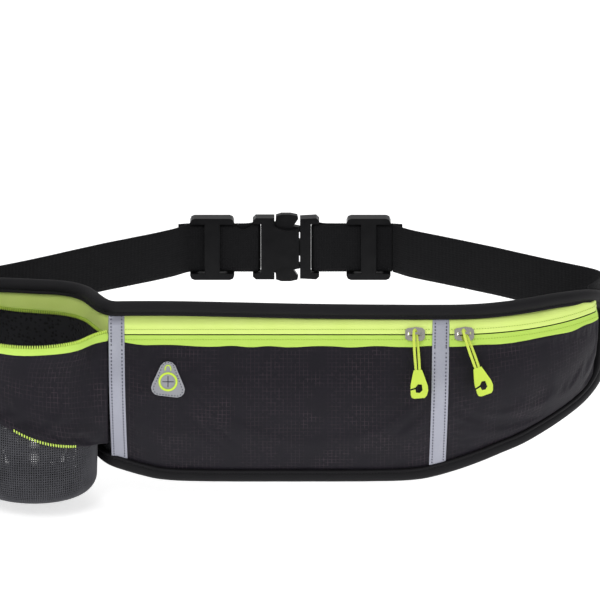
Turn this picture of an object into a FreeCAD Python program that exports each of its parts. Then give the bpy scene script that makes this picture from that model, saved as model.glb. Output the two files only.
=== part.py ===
import FreeCAD, Part
import math
import os
from FreeCAD import Vector as V, Placement, Rotation

# Running waist pack with an open bottle holster, two zipped pockets and a
# quick-release belt.  Frame: +Z up, X along the front of the bag, -Y to the
# outside of the bag, origin on the wearer's axis at mid height of the belt.

doc = FreeCAD.newDocument("waist_pack")
sheet = doc.addObject("Spreadsheet::Sheet", "dims")
CELLS = [
    # plan of the bag
    ("front_y", -103.0, "outer face of the back panel along the straight front"),
    ("belt_y", 96.0, "middle plane of the belt behind the wearer"),
    ("curve_x", 102.4, "where the right end starts to curve back"),
    ("curve_rad", 109.0, "plan radius of the right end"),
    ("left_x", -112.0, "where the left end starts to curve back"),
    ("panel_thk", 4.0, "padded back panel"),
    ("binding_wide", 9.0, "visible width of the edge binding"),
    ("binding_out", 3.0, "binding proud of the panel outside"),
    ("binding_in", 1.0, "binding proud of the panel inside"),
    ("top_z", 23.4, "top edge of the bag"),
    ("fabric_thk", 1.2, "shell fabric with its lining"),
    # zips
    ("zip_z", 5.0, "height of the zip line"),
    ("zip_out", 8.0, "zip line proud of the back panel face"),
    ("zip_lean", 26.0, "lean of the zip band, degrees"),
    ("slit", 1.2, "gap between the two tapes"),
    ("main_x0", -111.0, "left end of the main pocket"),
    ("main_x1", 96.6, "divider between the pockets"),
    ("side_end", 62.0, "angle where the side pocket ends"),
    ("slider_long", 12.6, "slider length"),
    ("slider_wide", 9.4, "slider width"),
    ("plate_thk", 1.4, "slider plate"),
    ("bar_up", 5.3, "pull bar above the zip face"),
    ("bar_rad", 0.8, "pull bar radius"),
    ("cord_dia", 1.8, "pull cord"),
    ("tip_long", 18.0, "hook tip length"),
    ("tip_thk", 2.6, "hook tip thickness"),
    ("main_slider_x", 80.0, "rest place of the main slider"),
    ("side_slider_ang", 4.4, "rest place of the side slider"),
    # reflective strips
    ("strip_wide", 11.4, "reflective strip"),
    ("strip_thk", 0.6, "reflective strip thickness"),
    # cable exit
    ("patch_wide", 21.6, "cable exit patch"),
    ("patch_thk", 0.6, "cable exit patch thickness"),
    ("ring_rad", 6.1, "cable exit ring outer radius"),
    ("ring_in", 4.8, "cable exit ring inner radius"),
    ("patch_x", -78.0, "cable exit centre"),
    ("patch_z", -20.6, "cable exit centre height"),
    # bottle holster
    ("holster_x", -164.5, "bottle axis"),
    ("holster_y", -101.0, "bottle axis"),
    ("band_rad", 44.0, "outer radius of the holster band"),
    ("band_thk", 1.6, "holster band"),
    ("pouch_rad", 41.6, "outer radius of the mesh pouch"),
    ("pouch_thk", 1.2, "mesh with its hem"),
    ("pouch_low", -103.0, "bottom of the mesh pouch"),
    # belt
    ("web_high", 33.0, "webbing width"),
    ("web_thk", 1.2, "webbing thickness"),
    ("adj_x", 52.0, "adjuster centre"),
    ("adj_long", 29.4, "adjuster length"),
    ("adj_high", 42.6, "adjuster height"),
    ("adj_bar", 10.0, "adjuster centre bar"),
    ("adj_rail", 3.4, "adjuster rail"),
    ("buckle_high", 42.6, "buckle height"),
    ("buckle_thk", 9.0, "buckle thickness"),
    ("socket_x0", -25.0, "buckle socket"),
    ("socket_x1", 5.8, "buckle mouth"),
    ("plug_x0", 6.4, "buckle plug shoulder"),
    ("plug_x1", 19.2, "buckle plug end"),
]
for i, (alias, value, note) in enumerate(CELLS, start=1):
    sheet.set("A%d" % i, alias)
    sheet.set("B%d" % i, "%g" % value)
    sheet.set("C%d" % i, note)
    sheet.setAlias("B%d" % i, alias)
doc.recompute()


def c(alias):
    return float(sheet.get(alias))


PARTS = []          # (label, object)


def new_body(label):
    b = doc.addObject("PartDesign::Body", label)
    b.Label = label
    PARTS.append((label, b))
    return b


def plane(body, role):
    for f in body.Origin.OriginFeatures:
        if f.Role == role:
            return f
    raise RuntimeError(role)


def sketch(body, role, name, off=None, off_expr=None):
    s = body.newObject("Sketcher::SketchObject", name)
    s.AttachmentSupport = (plane(body, role), [""])
    s.MapMode = "FlatFace"
    if off is not None:
        s.AttachmentOffset = Placement(V(*off), Rotation())
    if off_expr:
        s.setExpression(".AttachmentOffset.Base.z", off_expr)
    return s


def poly(s, pts):
    n = len(pts)
    for i in range(n):
        a, b = pts[i], pts[(i + 1) % n]
        s.addGeometry(Part.LineSegment(V(a[0], a[1], 0), V(b[0], b[1], 0)), False)


def circle(s, x, y, r, expr=None):
    import Sketcher
    g = s.addGeometry(Part.Circle(V(x, y, 0), V(0, 0, 1), r), False)
    k = s.addConstraint(Sketcher.Constraint("Radius", g, r))
    if expr:
        s.setExpression("Constraints[%d]" % k, expr)
    return g


def rect(s, x0, y0, x1, y1, wexpr=None, hexpr=None):
    """Rectangle, corner 0 fixed, width and height driven by the sheet."""
    import Sketcher
    C = Sketcher.Constraint
    p = [(x0, y0), (x1, y0), (x1, y1), (x0, y1)]
    g = [s.addGeometry(Part.LineSegment(V(*p[i], 0), V(*p[(i + 1) % 4], 0)), False)
         for i in range(4)]
    for i in range(4):
        s.addConstraint(C("Coincident", g[i], 2, g[(i + 1) % 4], 1))
    s.addConstraint(C("Horizontal", g[0]))
    s.addConstraint(C("Horizontal", g[2]))
    s.addConstraint(C("Vertical", g[1]))
    s.addConstraint(C("Vertical", g[3]))
    s.addConstraint(C("DistanceX", -1, 1, g[0], 1, x0))
    s.addConstraint(C("DistanceY", -1, 1, g[0], 1, y0))
    kw = s.addConstraint(C("DistanceX", g[0], 1, g[0], 2, x1 - x0))
    kh = s.addConstraint(C("DistanceY", g[1], 1, g[1], 2, y1 - y0))
    if wexpr:
        s.setExpression("Constraints[%d]" % kw, wexpr)
    if hexpr:
        s.setExpression("Constraints[%d]" % kh, hexpr)
    return g


def pad(body, s, length, name, expr=None, mid=False, rev=False):
    p = body.newObject("PartDesign::Pad", name)
    p.Profile = s
    p.Length = length
    if expr:
        p.setExpression("Length", expr)
    p.Midplane = mid
    p.Reversed = rev
    body.Tip = p
    return p


def pocket(body, s, name, length=400.0, mid=True, rev=False, expr=None):
    p = body.newObject("PartDesign::Pocket", name)
    p.Profile = s
    p.Length = length
    if expr:
        p.setExpression("Length", expr)
    p.Midplane = mid
    p.Reversed = rev
    body.Tip = p
    return p


def vol(body):
    doc.recompute()
    return body.Shape.Volume


def raw(label, shape):
    f = doc.addObject("Part::Feature", label)
    f.Label = label
    f.Shape = shape
    PARTS.append((label, f))
    return f


def off_poly(pts, d):
    """Open polyline moved d to its left, mitred."""
    out = []
    n = len(pts)
    for i in range(n):
        def nrm(a, b):
            l = math.hypot(b[0] - a[0], b[1] - a[1])
            return (-(b[1] - a[1]) / l, (b[0] - a[0]) / l)
        if i == 0:
            m = nrm(pts[0], pts[1]); k = 1.0
        elif i == n - 1:
            m = nrm(pts[-2], pts[-1]); k = 1.0
        else:
            a = nrm(pts[i - 1], pts[i]); b = nrm(pts[i], pts[i + 1])
            m = (a[0] + b[0], a[1] + b[1])
            l = math.hypot(*m)
            m = (m[0] / l, m[1] / l)
            k = 1.0 / max(0.3, m[0] * a[0] + m[1] * a[1])
        out.append((pts[i][0] + m[0] * d * k, pts[i][1] + m[1] * d * k))
    return out


# ---------------------------------------------------------------- plan curve
FY, CX, CR = c("front_y"), c("curve_x"), c("curve_rad")
CY = FY + CR
AX = V(CX, CY, 0)                       # axis of the right end
# left end: from the straight front back round the bottle
LEFT = [(-209.5, 88), (-206, 78), (-200, 69), (-190, 60.5), (-178, 54.5),
        (-164, 50.5), (-150, 47), (-139, 41), (-131, 31.5), (-126, 20),
        (-121, 8.5), (-116.5, 2.2), (-112, 0)]
LEFT = [(x, FY + d) for x, d in LEFT]


def plan(d_out, d_in, end_ang, left=True, x_start=None):
    """Closed plan profile between the front curve moved out and in."""
    base = (LEFT if left else [(x_start, FY)]) + [(CX, FY)]
    o = off_poly(base, -d_out)
    i = off_poly(base, d_in)
    return o, i


def plan_sketch(s, d_out, d_in, end_ang, left=True, x_start=None):
    o, i = plan(d_out, d_in, end_ang, left, x_start)
    ro, ri = CR + d_out, CR - d_in
    o[-1] = (CX, CY - ro)
    i[-1] = (CX, CY - ri)
    a0, a1 = -math.pi / 2, -math.pi / 2 + math.radians(end_ang)
    for k in range(len(o) - 1):
        s.addGeometry(Part.LineSegment(V(*o[k], 0), V(*o[k + 1], 0)), False)
    s.addGeometry(Part.ArcOfCircle(Part.Circle(V(CX, CY, 0), V(0, 0, 1), ro), a0, a1), False)
    eo = (CX + ro * math.cos(a1), CY + ro * math.sin(a1))
    ei = (CX + ri * math.cos(a1), CY + ri * math.sin(a1))
    s.addGeometry(Part.LineSegment(V(*eo, 0), V(*ei, 0)), False)
    s.addGeometry(Part.ArcOfCircle(Part.Circle(V(CX, CY, 0), V(0, 0, 1), ri), a0, a1), False)
    for k in range(len(i) - 1, 0, -1):
        s.addGeometry(Part.LineSegment(V(*i[k], 0), V(*i[k - 1], 0)), False)
    s.addGeometry(Part.LineSegment(V(*i[0], 0), V(*o[0], 0)), False)


# ------------------------------------------------- outline seen from the front
TZ, BW = c("top_z"), c("binding_wide")
BOT = [(0, -97.2), (60, -97.2), (83, -96.0), (95, -93.2), (106, -89.8),
       (123.5, -83.9), (134.4, -79.8), (148, -75.9), (161.3, -70.3),
       (176, -64.1), (190.7, -57.4), (199.5, -50.5), (205.0, -42.0), (207.6, -30)]
TOPR = [(209.2, -1), (207.4, 5), (203, 11.2), (196, 16.4), (186, 20.0), (170, 22.6), (0, TZ)]
TOPMID = [(150, 22.7), (120, 22.2), (90, 22.0), (50, 22.2), (0, 22.9), (-45, 24.0), (-75, 24.6), (-105, 24.6), (-140, 24.0)]
LTOP = [(-170, 23.4), (-186, 22.4), (-196, 20.2), (-203, 17.2), (-207, 13.5), (-209.2, 8)]
right = BOT + TOPR
leftpts = [(-x, z) for x, z in BOT[::-1]][:-1]
lefttop = [(-x, z) for x, z in TOPR[:-1][::-1]]
OUTER = BOT + TOPR[:-1] + TOPMID + LTOP + leftpts


def inset(ring, d):
    n = len(ring)
    out = []
    for i in range(n):
        a, b, e = ring[i - 1], ring[i], ring[(i + 1) % n]
        def nr(p, q):
            l = math.hypot(q[0] - p[0], q[1] - p[1])
            return (-(q[1] - p[1]) / l, (q[0] - p[0]) / l)
        n1, n2 = nr(a, b), nr(b, e)
        m = (n1[0] + n2[0], n1[1] + n2[1])
        l = math.hypot(*m)
        m = (m[0] / l, m[1] / l)
        k = d / max(0.3, m[0] * n1[0] + m[1] * n1[1])
        out.append((b[0] + m[0] * k, b[1] + m[1] * k))
    return out


INNER = inset(OUTER, BW)
FAR = [(-400, -300), (400, -300), (400, 300), (-400, 300)]

# back panel ---------------------------------------------------------------
bp = new_body("back_panel")
s = sketch(bp, "XY_Plane", "bp_plan", off=(0, 0, -100))
plan_sketch(s, 0.0, c("panel_thk"), 70.0)
pad(bp, s, 130, "bp_pad")
s = sketch(bp, "XZ_Plane", "bp_outline")
poly(s, FAR); poly(s, INNER)
pocket(bp, s, "bp_cut", 600)

# edge binding: a top run and a bottom run that meets it at both ends ---------
for name, keep_top in (("top_binding", True), ("bottom_binding", False)):
    b = new_body(name)
    s = sketch(b, "XY_Plane", name + "_plan", off=(0, 0, -100))
    plan_sketch(s, c("binding_out"), c("panel_thk") + c("binding_in"), 71.5)
    pad(b, s, 130, name + "_pad")
    s = sketch(b, "XZ_Plane", name + "_outer")
    poly(s, FAR); poly(s, OUTER)
    pocket(b, s, name + "_cut", 600)
    s = sketch(b, "XZ_Plane", name + "_inner")
    poly(s, INNER)
    pocket(b, s, name + "_core", 600)
    s = sketch(b, "XZ_Plane", name + "_part")
    if keep_top:
        poly(s, [(-400, -300), (400, -300), (400, 12), (-400, 12)])
    else:
        poly(s, [(-400, 12), (400, 12), (400, 300), (-400, 300)])
    pocket(b, s, name + "_half", 600)

# ---------------------------------------------------------- section of the bag
ZL, ZO = c("zip_z"), c("zip_out")
LEAN = math.radians(c("zip_lean"))
TY, TZt = -math.sin(LEAN), -math.cos(LEAN)       # down along the zip band
NY, NZ = -math.cos(LEAN), math.sin(LEAN)         # outward from the zip band
FT = c("fabric_thk")


def zl(t, n):
    """Point of the section in (y, z): t down the band, n outwards."""
    return (FY - ZO + TY * t + NY * n, ZL + TZt * t + NZ * n)


HS = c("slit") / 2
LOW_T = 7.8      # width of the lower tape
UP = [zl(-HS, 0), zl(-11.6, 0), zl(-11.6, -FT), zl(-HS, -FT)]
LO = [zl(HS, 0), zl(LOW_T, 0), zl(LOW_T, -FT), zl(HS, -FT)]
CU = [zl(-HS, -FT), zl(-2.9, -FT), zl(-2.9, -FT - 1.9), zl(-HS, -FT - 1.9)]
CL = [zl(HS, -FT), zl(2.9, -FT), zl(2.9, -FT - 1.9), zl(HS, -FT - 1.9)]


def belly(zbot, swell):
    """Outer line of the lower shell from the zip band down to zbot."""
    y0, z0 = zl(LOW_T, 0)
    y1, z1 = FY - 1.4, zbot
    out = []
    n = 9
    for k in range(n):
        u = k / (n - 1.0)
        z = z0 + (z1 - z0) * u
        y = y0 + (y1 - y0) * u - swell * math.sin(math.pi * u ** 0.9) * (1 + 0.35 * (1 - u))
        out.append((y, z))
    return out


def shell_section(zbot, swell):
    o = belly(zbot, swell)
    i = off_poly(o, FT)
    # keep the foot of the shell on the panel face
    i[-1] = (FY - 0.2, zbot)
    return o + i[::-1]


MZB = -88.2
SECT = shell_section(MZB, 11.5)


def prism(label, pts, x0, length, lexpr=None):
    b = new_body(label)
    s = sketch(b, "YZ_Plane", label + "_sec", off=(0, 0, x0))
    poly(s, pts)
    pad(b, s, length, label + "_pad", expr=lexpr)
    return b


MX0, MX1 = c("main_x0"), c("main_x1")
prism("main_front_panel", SECT, MX0, MX1 - MX0, "dims.main_x1 - dims.main_x0")
prism("main_zip_tape_upper", UP, MX0, MX1 - MX0, "dims.main_x1 - dims.main_x0")
prism("main_zip_tape_lower", LO, MX0, MX1 - MX0, "dims.main_x1 - dims.main_x0")
prism("main_zip_coil_upper", CU, MX0 + 4, MX1 - MX0 - 8, "dims.main_x1 - dims.main_x0 - 8")
prism("main_zip_coil_lower", CL, MX0 + 4, MX1 - MX0 - 8, "dims.main_x1 - dims.main_x0 - 8")


def swept(label, pts, a0, a1, expr=None):
    """Straight run from the divider to the curve, then turned about the axis."""
    b = new_body(label)
    s = sketch(b, "YZ_Plane", label + "_sec", off=(0, 0, MX1))
    poly(s, pts)
    pad(b, s, CX - MX1, label + "_pad", expr="dims.curve_x - dims.main_x1")
    s2 = sketch(b, "YZ_Plane", label + "_turn", off=(0, 0, CX))
    poly(s2, pts)
    g = s2.addGeometry(Part.LineSegment(V(CY, -150, 0), V(CY, 100, 0)), True)
    r = b.newObject("PartDesign::Revolution", label + "_rev")
    r.Profile = s2
    r.ReferenceAxis = (s2, ["Axis0"])
    r.Angle = a1
    if expr:
        r.setExpression("Angle", expr)
    b.Tip = r
    doc.recompute()
    # turn towards the wearer
    if r.Shape.BoundBox.XMax < CX + 20:
        r.Reversed = True
        doc.recompute()
    return b


SE = c("side_end")
swept("side_zip_tape_upper", UP, 0, SE, "dims.side_end")
swept("side_zip_tape_lower", LO, 0, SE, "dims.side_end")
swept("side_zip_coil_upper", CU, 0, SE - 2, "dims.side_end - 2")
swept("side_zip_coil_lower", CL, 0, SE - 2, "dims.side_end - 2")


def section_wire(zbot, swell, ang, x=None):
    pts = shell_section(zbot, swell)
    vs = [V(CX if x is None else x, y, z) for y, z in pts]
    vs.append(vs[0])
    w = Part.makePolygon(vs)
    if ang:
        w.rotate(AX, V(0, 0, 1), ang)
    return w


# lower shell of the side pocket: its section shrinks with the outline
secs = [section_wire(-83.6, 11.5, 0, MX1), section_wire(-81.8, 11.0, 0)]
for ang, zb, sw in ((10, -75.5, 9.8), (20, -69.2, 8.4), (31, -62.5, 6.8),
                    (42, -55.2, 5.2), (52, -49.3, 3.6), (62, -42.0, 1.8)):
    secs.append(section_wire(zb, sw, ang))
raw("side_front_panel", Part.makeLoft(secs, True, True))


# dividers: flat fabric walls that close the pocket at each end -------------
def wall_pts():
    o = [zl(-11.6, -FT - 0.3)] + [zl(LOW_T, -FT - 0.3)] + off_poly(belly(MZB, 11.5), FT + 0.3)[1:-1]
    return [(FY - 0.3, o[0][1])] + o + [(FY - 0.3, MZB + 3)]


prism("left_end_wall", wall_pts(), MX0 + 0.2, 1.2)
prism("pocket_divider", wall_pts(), MX1 - 1.6, 1.2)


# reflective strips, laid over both end seams -------------------------------
def strip_pts(th, zb):
    o = [zl(-11.6, 0.1), zl(0, 0.1), zl(LOW_T, 0.1)] + [p for p in off_poly(belly(zb, 11.5), -0.1)[1:]]
    top = [zl(-11.6, 0.1 + th), zl(0, 0.1 + th), zl(LOW_T, 0.1 + th)] + [p for p in off_poly(belly(zb, 11.5), -0.1 - th)[1:]]
    return o + top[::-1]


ST = c("strip_thk")
prism("reflective_strip_left", strip_pts(ST, MZB), -117.0, 11.4, "dims.strip_wide")
prism("reflective_strip_right", strip_pts(ST, MZB), 90.8, 11.4, "dims.strip_wide")


# ------------------------------------------------------------ cable exit port
def surf_y(z):
    """y of the main shell's outer face at height z."""
    o = belly(MZB, 11.5)
    for (ya, za), (yb, zb) in zip(o, o[1:]):
        if za >= z >= zb:
            return ya + (yb - ya) * (z - za) / (zb - za)
    return o[0][0]


PX, PZ = c("patch_x"), c("patch_z")
ys0, ys1 = surf_y(PZ + 11), surf_y(PZ - 11)
slope = math.degrees(math.atan2(ys0 - ys1, 22.0))     # lean of the shell there
PY = min(surf_y(PZ + dz) - math.tan(math.radians(slope)) * dz for dz in range(-14, 14)) - 0.12
PLACE = Placement(V(PX, PY, PZ), Rotation(V(1, 0, 0), -slope))
b = new_body("cable_port_patch")
s = sketch(b, "XZ_Plane", "patch_sk")
w = c("patch_wide") / 2
tri = []
for cx, cz, a0 in ((0, 10.9, 90), (-w + 5.0, -6.0, 210), (w - 5.0, -7.3, 330)):
    r = 5.0 if a0 != 90 else 5.4
    for da in (-60, -30, 0, 30, 60):
        a = math.radians(a0 + da)
        tri.append((cx + r * math.cos(a), cz - (r if a0 == 90 else 0) + r * math.sin(a)))
poly(s, tri)
circle(s, 0, -2.2, c("ring_rad") + 0.05)
pad(b, s, 0.6, "patch_pad", expr="dims.patch_thk")
b.Placement = PLACE
b = new_body("cable_port_ring")
s = sketch(b, "XZ_Plane", "ring_sk")
circle(s, 0, -2.2, c("ring_rad"), "dims.ring_rad")
circle(s, 0, -2.2, c("ring_in"), "dims.ring_in")
pad(b, s, 1.0, "ring_pad")
b.Placement = PLACE
b = new_body("cable_port_membrane")
s = sketch(b, "XZ_Plane", "mem_sk")
circle(s, 0, -2.2, c("ring_in") - 0.02)
pad(b, s, 0.5, "mem_pad")
s = sketch(b, "XZ_Plane", "mem_slit", off=(0, 0, 0))
q = 0.25
L = 3.6
poly(s, [(x, z - 2.2) for x, z in ((-q, L), (q, L), (q, q), (L, q), (L, -q), (q, -q), (q, -L), (-q, -L), (-q, -q), (-L, -q), (-L, q), (-q, q))])
pocket(b, s, "mem_cut", 4)
b.Placement = PLACE

# ----------------------------------------------------------- bottle holster
HX, HY = c("holster_x"), c("holster_y")
BR, BT = c("band_rad"), c("band_thk")


def arc_pts(r, a0, a1, n):
    return [(HX + r * math.cos(math.radians(a0 + (a1 - a0) * k / n)),
             HY + r * math.sin(math.radians(a0 + (a1 - a0) * k / n))) for k in range(n + 1)]


def holster_sketch(s, r_out, r_in, a0, a1, wall=True, flange=True):
    """Ring round the front of the bottle, run back to the panel on the left
    and tucked under the reflective strip on the right."""
    A0, A1 = math.radians(a0), math.radians(a1)
    s.addGeometry(Part.ArcOfCircle(Part.Circle(V(HX, HY, 0), V(0, 0, 1), r_out), A0, A1), False)
    s.addGeometry(Part.ArcOfCircle(Part.Circle(V(HX, HY, 0), V(0, 0, 1), r_in), A0, A1), False)
    th = r_out - r_in
    for a, extra in ((A0, wall), (A1, flange)):
        po = (HX + r_out * math.cos(a), HY + r_out * math.sin(a))
        pi = (HX + r_in * math.cos(a), HY + r_in * math.sin(a))
        if not extra:
            ring = [po, pi]
        elif a == A0:
            ring = [po, (po[0] - 0.6, FY + 34), (po[0], FY + 66), (pi[0], FY + 66), (pi[0] - 0.6, FY + 34), pi]
        else:
            ring = [po, (-111.4, po[1] - 0.2), (-111.4, po[1] - 0.2 + th), (pi[0] + 0.4, pi[1] - 0.2 + th), pi]
        for p1, p2 in zip(ring, ring[1:]):
            s.addGeometry(Part.LineSegment(V(*p1, 0), V(*p2, 0)), False)


B0, B1 = 180.0, 351.5
BAND_BOT = [(-260, -32), (-213, -36), (-205, -38.5), (-190, -44), (-172, -51), (-155, -57),
            (-140, -62.5), (-128, -66.5), (-118, -69), (-100, -71)]
b = new_body("holster_band")
s = sketch(b, "XY_Plane", "band_plan", off=(0, 0, -80))
holster_sketch(s, BR, BR - BT, B0, B1)
pad(b, s, 80 + 2.4, "band_pad")
s = sketch(b, "XZ_Plane", "band_low")
poly(s, [(-260, -120)] + BAND_BOT + [(-100, -120)])
pocket(b, s, "band_trim", 600)

b = new_body("holster_zip_tape_front")
s = sketch(b, "XY_Plane", "tape_plan", off=(0, 0, 2.4))
holster_sketch(s, BR, BR - BT, B0, B1)
pad(b, s, 4.0, "tape_pad")
b = new_body("holster_zip_coil_front")
s = sketch(b, "XY_Plane", "fcoil_plan", off=(0, 0, 6.4))
holster_sketch(s, BR - 0.1, BR - BT - 0.1, B0, B1 - 3, True, False)
pad(b, s, 1.8, "fcoil_pad")

# the other half of the opened holster zip, sewn to the back panel
b = new_body("holster_zip_tape_back")
s = sketch(b, "XY_Plane", "btape_plan", off=(0, 0, 3.0))
base = LEFT[1:]
o = off_poly(base, -1.3)
i = off_poly(base, -0.1)
poly(s, o + i[::-1])
pad(b, s, 11.8, "btape_pad")
b = new_body("holster_zip_coil_back")
s = sketch(b, "XY_Plane", "bcoil_plan", off=(0, 0, 1.2))
base = LEFT[2:-3]
o = off_poly(base, -1.6)
i = off_poly(base, -0.1)
poly(s, o + i[::-1])
pad(b, s, 1.8, "bcoil_pad")

# mesh pouch: a cup inside the band
pr, pt = c("pouch_rad"), c("pouch_thk")
b = new_body("mesh_pouch")
s = sketch(b, "XY_Plane", "pouch_plan", off_expr="dims.pouch_low")
circle(s, HX, HY, pr, "dims.pouch_rad")
pad(b, s, 78, "pouch_pad")
s = sketch(b, "XY_Plane", "pouch_hollow", off_expr="dims.pouch_low + dims.pouch_thk")
circle(s, HX, HY, pr - pt, "dims.pouch_rad - dims.pouch_thk")
pocket(b, s, "pouch_cut", 100, mid=False, rev=True)
# lower zip teeth of the holster band
b = new_body("holster_lower_coil")
s = sketch(b, "XY_Plane", "lcoil_plan", off=(0, 0, -80))
holster_sketch(s, BR - 0.1, BR - BT - 0.1, B0, B1 - 3, True, False)
pad(b, s, 80 - 3.0, "lcoil_pad")
s = sketch(b, "XZ_Plane", "lcoil_low")
poly(s, [(-260, -120)] + [(x, z - 1.7) for x, z in BAND_BOT] + [(-100, -120)])
pocket(b, s, "lcoil_trim", 600)
s = sketch(b, "XZ_Plane", "lcoil_high")
poly(s, [(x, z) for x, z in BAND_BOT] + [(-100, 20), (-260, 20)])
pocket(b, s, "lcoil_top", 600)
# the row shows only under the middle of the band
s = sketch(b, "XZ_Plane", "lcoil_ends")
rect(s, -260, -120, -177, 20)
rect(s, -136, -120, -90, 20)
pocket(b, s, "lcoil_end_trim", 600)

# --------------------------------------------------------------------- slider
SL, SW, PT, BU, BRd = c("slider_long"), c("slider_wide"), c("plate_thk"), c("bar_up"), c("bar_rad")


def slider(label, place):
    """Local frame: X along the zip, Y into the bag, Z up the band."""
    b = new_body(label)
    # outer plate, tapered towards the closed side
    s = sketch(b, "XZ_Plane", label + "_top", off=(0, 0, 0.4))
    h, w2 = SL / 2, SW / 2
    poly(s, [(-h, -w2 + 2.0), (-h + 1.5, -w2 + 0.8), (1.0, -w2), (h - 1.5, -w2 + 0.6), (h, -w2 + 2.2),
             (h, w2 - 2.2), (h - 1.5, w2 - 0.6), (1.0, w2), (-h + 1.5, w2 - 0.8), (-h, w2 - 2.0)])
    pad(b, s, PT, label + "_plate", expr="dims.plate_thk")
    # post between the two coils
    s = sketch(b, "XZ_Plane", label + "_post", off=(0, 0, -4.0))
    rect(s, 1.0, -0.3, 5.0, 0.3)
    pad(b, s, 4.6, label + "_wedge")
    # inner plate
    s = sketch(b, "XZ_Plane", label + "_low", off=(0, 0, -3.6 - PT))
    poly(s, [(-h, -w2 + 2.0), (-h + 1.5, -w2 + 0.8), (1.0, -w2), (h - 1.5, -w2 + 0.6), (h, -w2 + 2.2),
             (h, w2 - 2.2), (h - 1.5, w2 - 0.6), (1.0, w2), (-h + 1.5, w2 - 0.8), (-h, w2 - 2.0)])
    pad(b, s, PT, label + "_plate2", expr="dims.plate_thk")
    # bridge for the pull
    s = sketch(b, "XY_Plane", label + "_arch", off=(0, 0, -BRd))
    t = 0.4 + PT - 0.05
    poly(s, [(-4.6, -t), (-3.2, -t), (-2.9, -BU + BRd), (2.9, -BU + BRd), (3.2, -t), (4.6, -t),
             (4.1, -BU + BRd - 0.4), (3.2, -BU - BRd), (-3.2, -BU - BRd), (-4.1, -BU + BRd - 0.4)])
    pad(b, s, 2 * BRd, label + "_bridge", expr="dims.bar_rad * 2")
    b.Placement = place
    return b


def zip_place(x):
    y, z = zl(0, 0)
    return Placement(V(x, y, z), Rotation(V(1, 0, 0), -c("zip_lean")))


def turned(p, ang):
    r = Placement(V(0, 0, 0), Rotation(V(0, 0, 1), ang), V(CX, CY, 0))
    return r.multiply(p)


PLM = zip_place(c("main_slider_x"))
PLS = turned(zip_place(CX), c("side_slider_ang"))
PLH = Placement(V(HX - BR - 0.4, FY + 52, 9.2), Rotation(V(0, 0, 1), -90))
slider("main_slider", PLM)
slider("side_slider", PLS)
slider("holster_slider", PLH)

# ----------------------------------------------------------------- pull: cord
CD, TL, TT = c("cord_dia"), c("tip_long"), c("tip_thk")
ROUTE = [(-1.15, 0.0, -23.6), (-1.35, -0.5, -15.2), (-1.15, -1.8, -4.2), (-0.8, -2.3, 1.33),
         (0.0, 0.0, 2.656), (0.8, 2.3, 1.33), (1.15, 1.5, -4.2), (1.35, 0.45, -15.0),
         (1.15, 0.0, -23.6)]


def tube(route, dia, label):
    pts = [V(*p) for p in route]
    runs = [(pts[k + 1] - pts[k]).Length for k in range(len(pts) - 1)]
    edges = []
    last = pts[0]
    radii = []
    length = 0.0
    for k in range(1, len(pts) - 1):
        a = (pts[k - 1] - pts[k]); a.normalize()
        b_ = (pts[k + 1] - pts[k]); b_.normalize()
        turn = math.pi - a.getAngle(b_)
        short = min(runs[k - 1], runs[k])
        cut = 0.45 * short
        rad = cut / math.tan(turn / 2)
        radii.append(round(rad, 2))
        p1 = pts[k] + a * cut
        p2 = pts[k] + b_ * cut
        bis = a + b_; bis.normalize()
        ctr = pts[k] + bis * math.hypot(cut, rad)
        dirn = pts[k] - ctr; dirn.normalize()
        mid = ctr + dirn * rad
        if (p1 - last).Length > 1e-6:
            edges.append(Part.LineSegment(last, p1).toShape())
            length += (p1 - last).Length
        edges.append(Part.Arc(p1, mid, p2).toShape())
        length += rad * turn
        last = p2
    edges.append(Part.LineSegment(last, pts[-1]).toShape())
    length += (pts[-1] - last).Length
    w = Part.Wire(edges)
    d0 = pts[1] - pts[0]
    prof = Part.Wire(Part.makeCircle(dia / 2, pts[0], d0))
    sh = w.makePipeShell([prof], True, False, 2)
    want = math.pi * dia * dia / 4 * length
    print("%s: length %.2f mm, radii %s, volume %.2f, section x length %.2f" % (label, length, radii, sh.Volume, want))
    if abs(sh.Volume - want) > 0.03 * want:
        raise RuntimeError("cord volume")
    return sh


def pull(prefix, slider_place, lean, yaw=0.0):
    """Cord and hook tip; local origin at the pull bar, hanging down -Z."""
    hinge = slider_place.multVec(V(0, -BU, 0))
    base = slider_place.Rotation
    rot = base.multiply(Rotation(V(1, 0, 0), lean)).multiply(Rotation(V(0, 1, 0), yaw))
    P = Placement(hinge, rot)
    f = raw(prefix + "_pull_cord", tube(ROUTE, CD, prefix + "_pull_cord"))
    f.Placement = P
    b = new_body(prefix + "_pull_tip")
    s = sketch(b, "XZ_Plane", prefix + "_tip_sk")
    z0 = ROUTE[0][2] - 0.02
    poly(s, [(-2.6, z0), (2.6, z0), (3.4, z0 - 2.5), (5.6, z0 - 10.5), (5.7, z0 - 13.5), (4.6, z0 - 16.6),
             (3.2, z0 - TL), (-3.6, z0 - TL), (-5.2, z0 - 17.2), (-5.6, z0 - 15.4), (-5.5, z0 - 12.9),
             (-2.4, z0 - 12.3), (-2.2, z0 - 14.4), (0.2, z0 - 14.8), (2.1, z0 - 13.2), (2.0, z0 - 9.4),
             (-0.4, z0 - 9.0), (-2.3, z0 - 11.0), (-5.5, z0 - 11.9), (-5.2, z0 - 9.0), (-3.4, z0 - 2.5)])
    pad(b, s, TT, prefix + "_tip_pad", expr="dims.tip_thk", mid=True)
    b.Placement = P
    return hinge


HM = pull("main", PLM, 3.0, -4.0)
HSd = pull("side", PLS, 3.0, -18.0)
HH = pull("holster", PLH, 0.0)
print("main hinge", HM, "side hinge", HSd, "holster hinge", HH)

# ----------------------------------------------------------------------- belt
BY, WH, WT = c("belt_y"), c("web_high"), c("web_thk")


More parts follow.
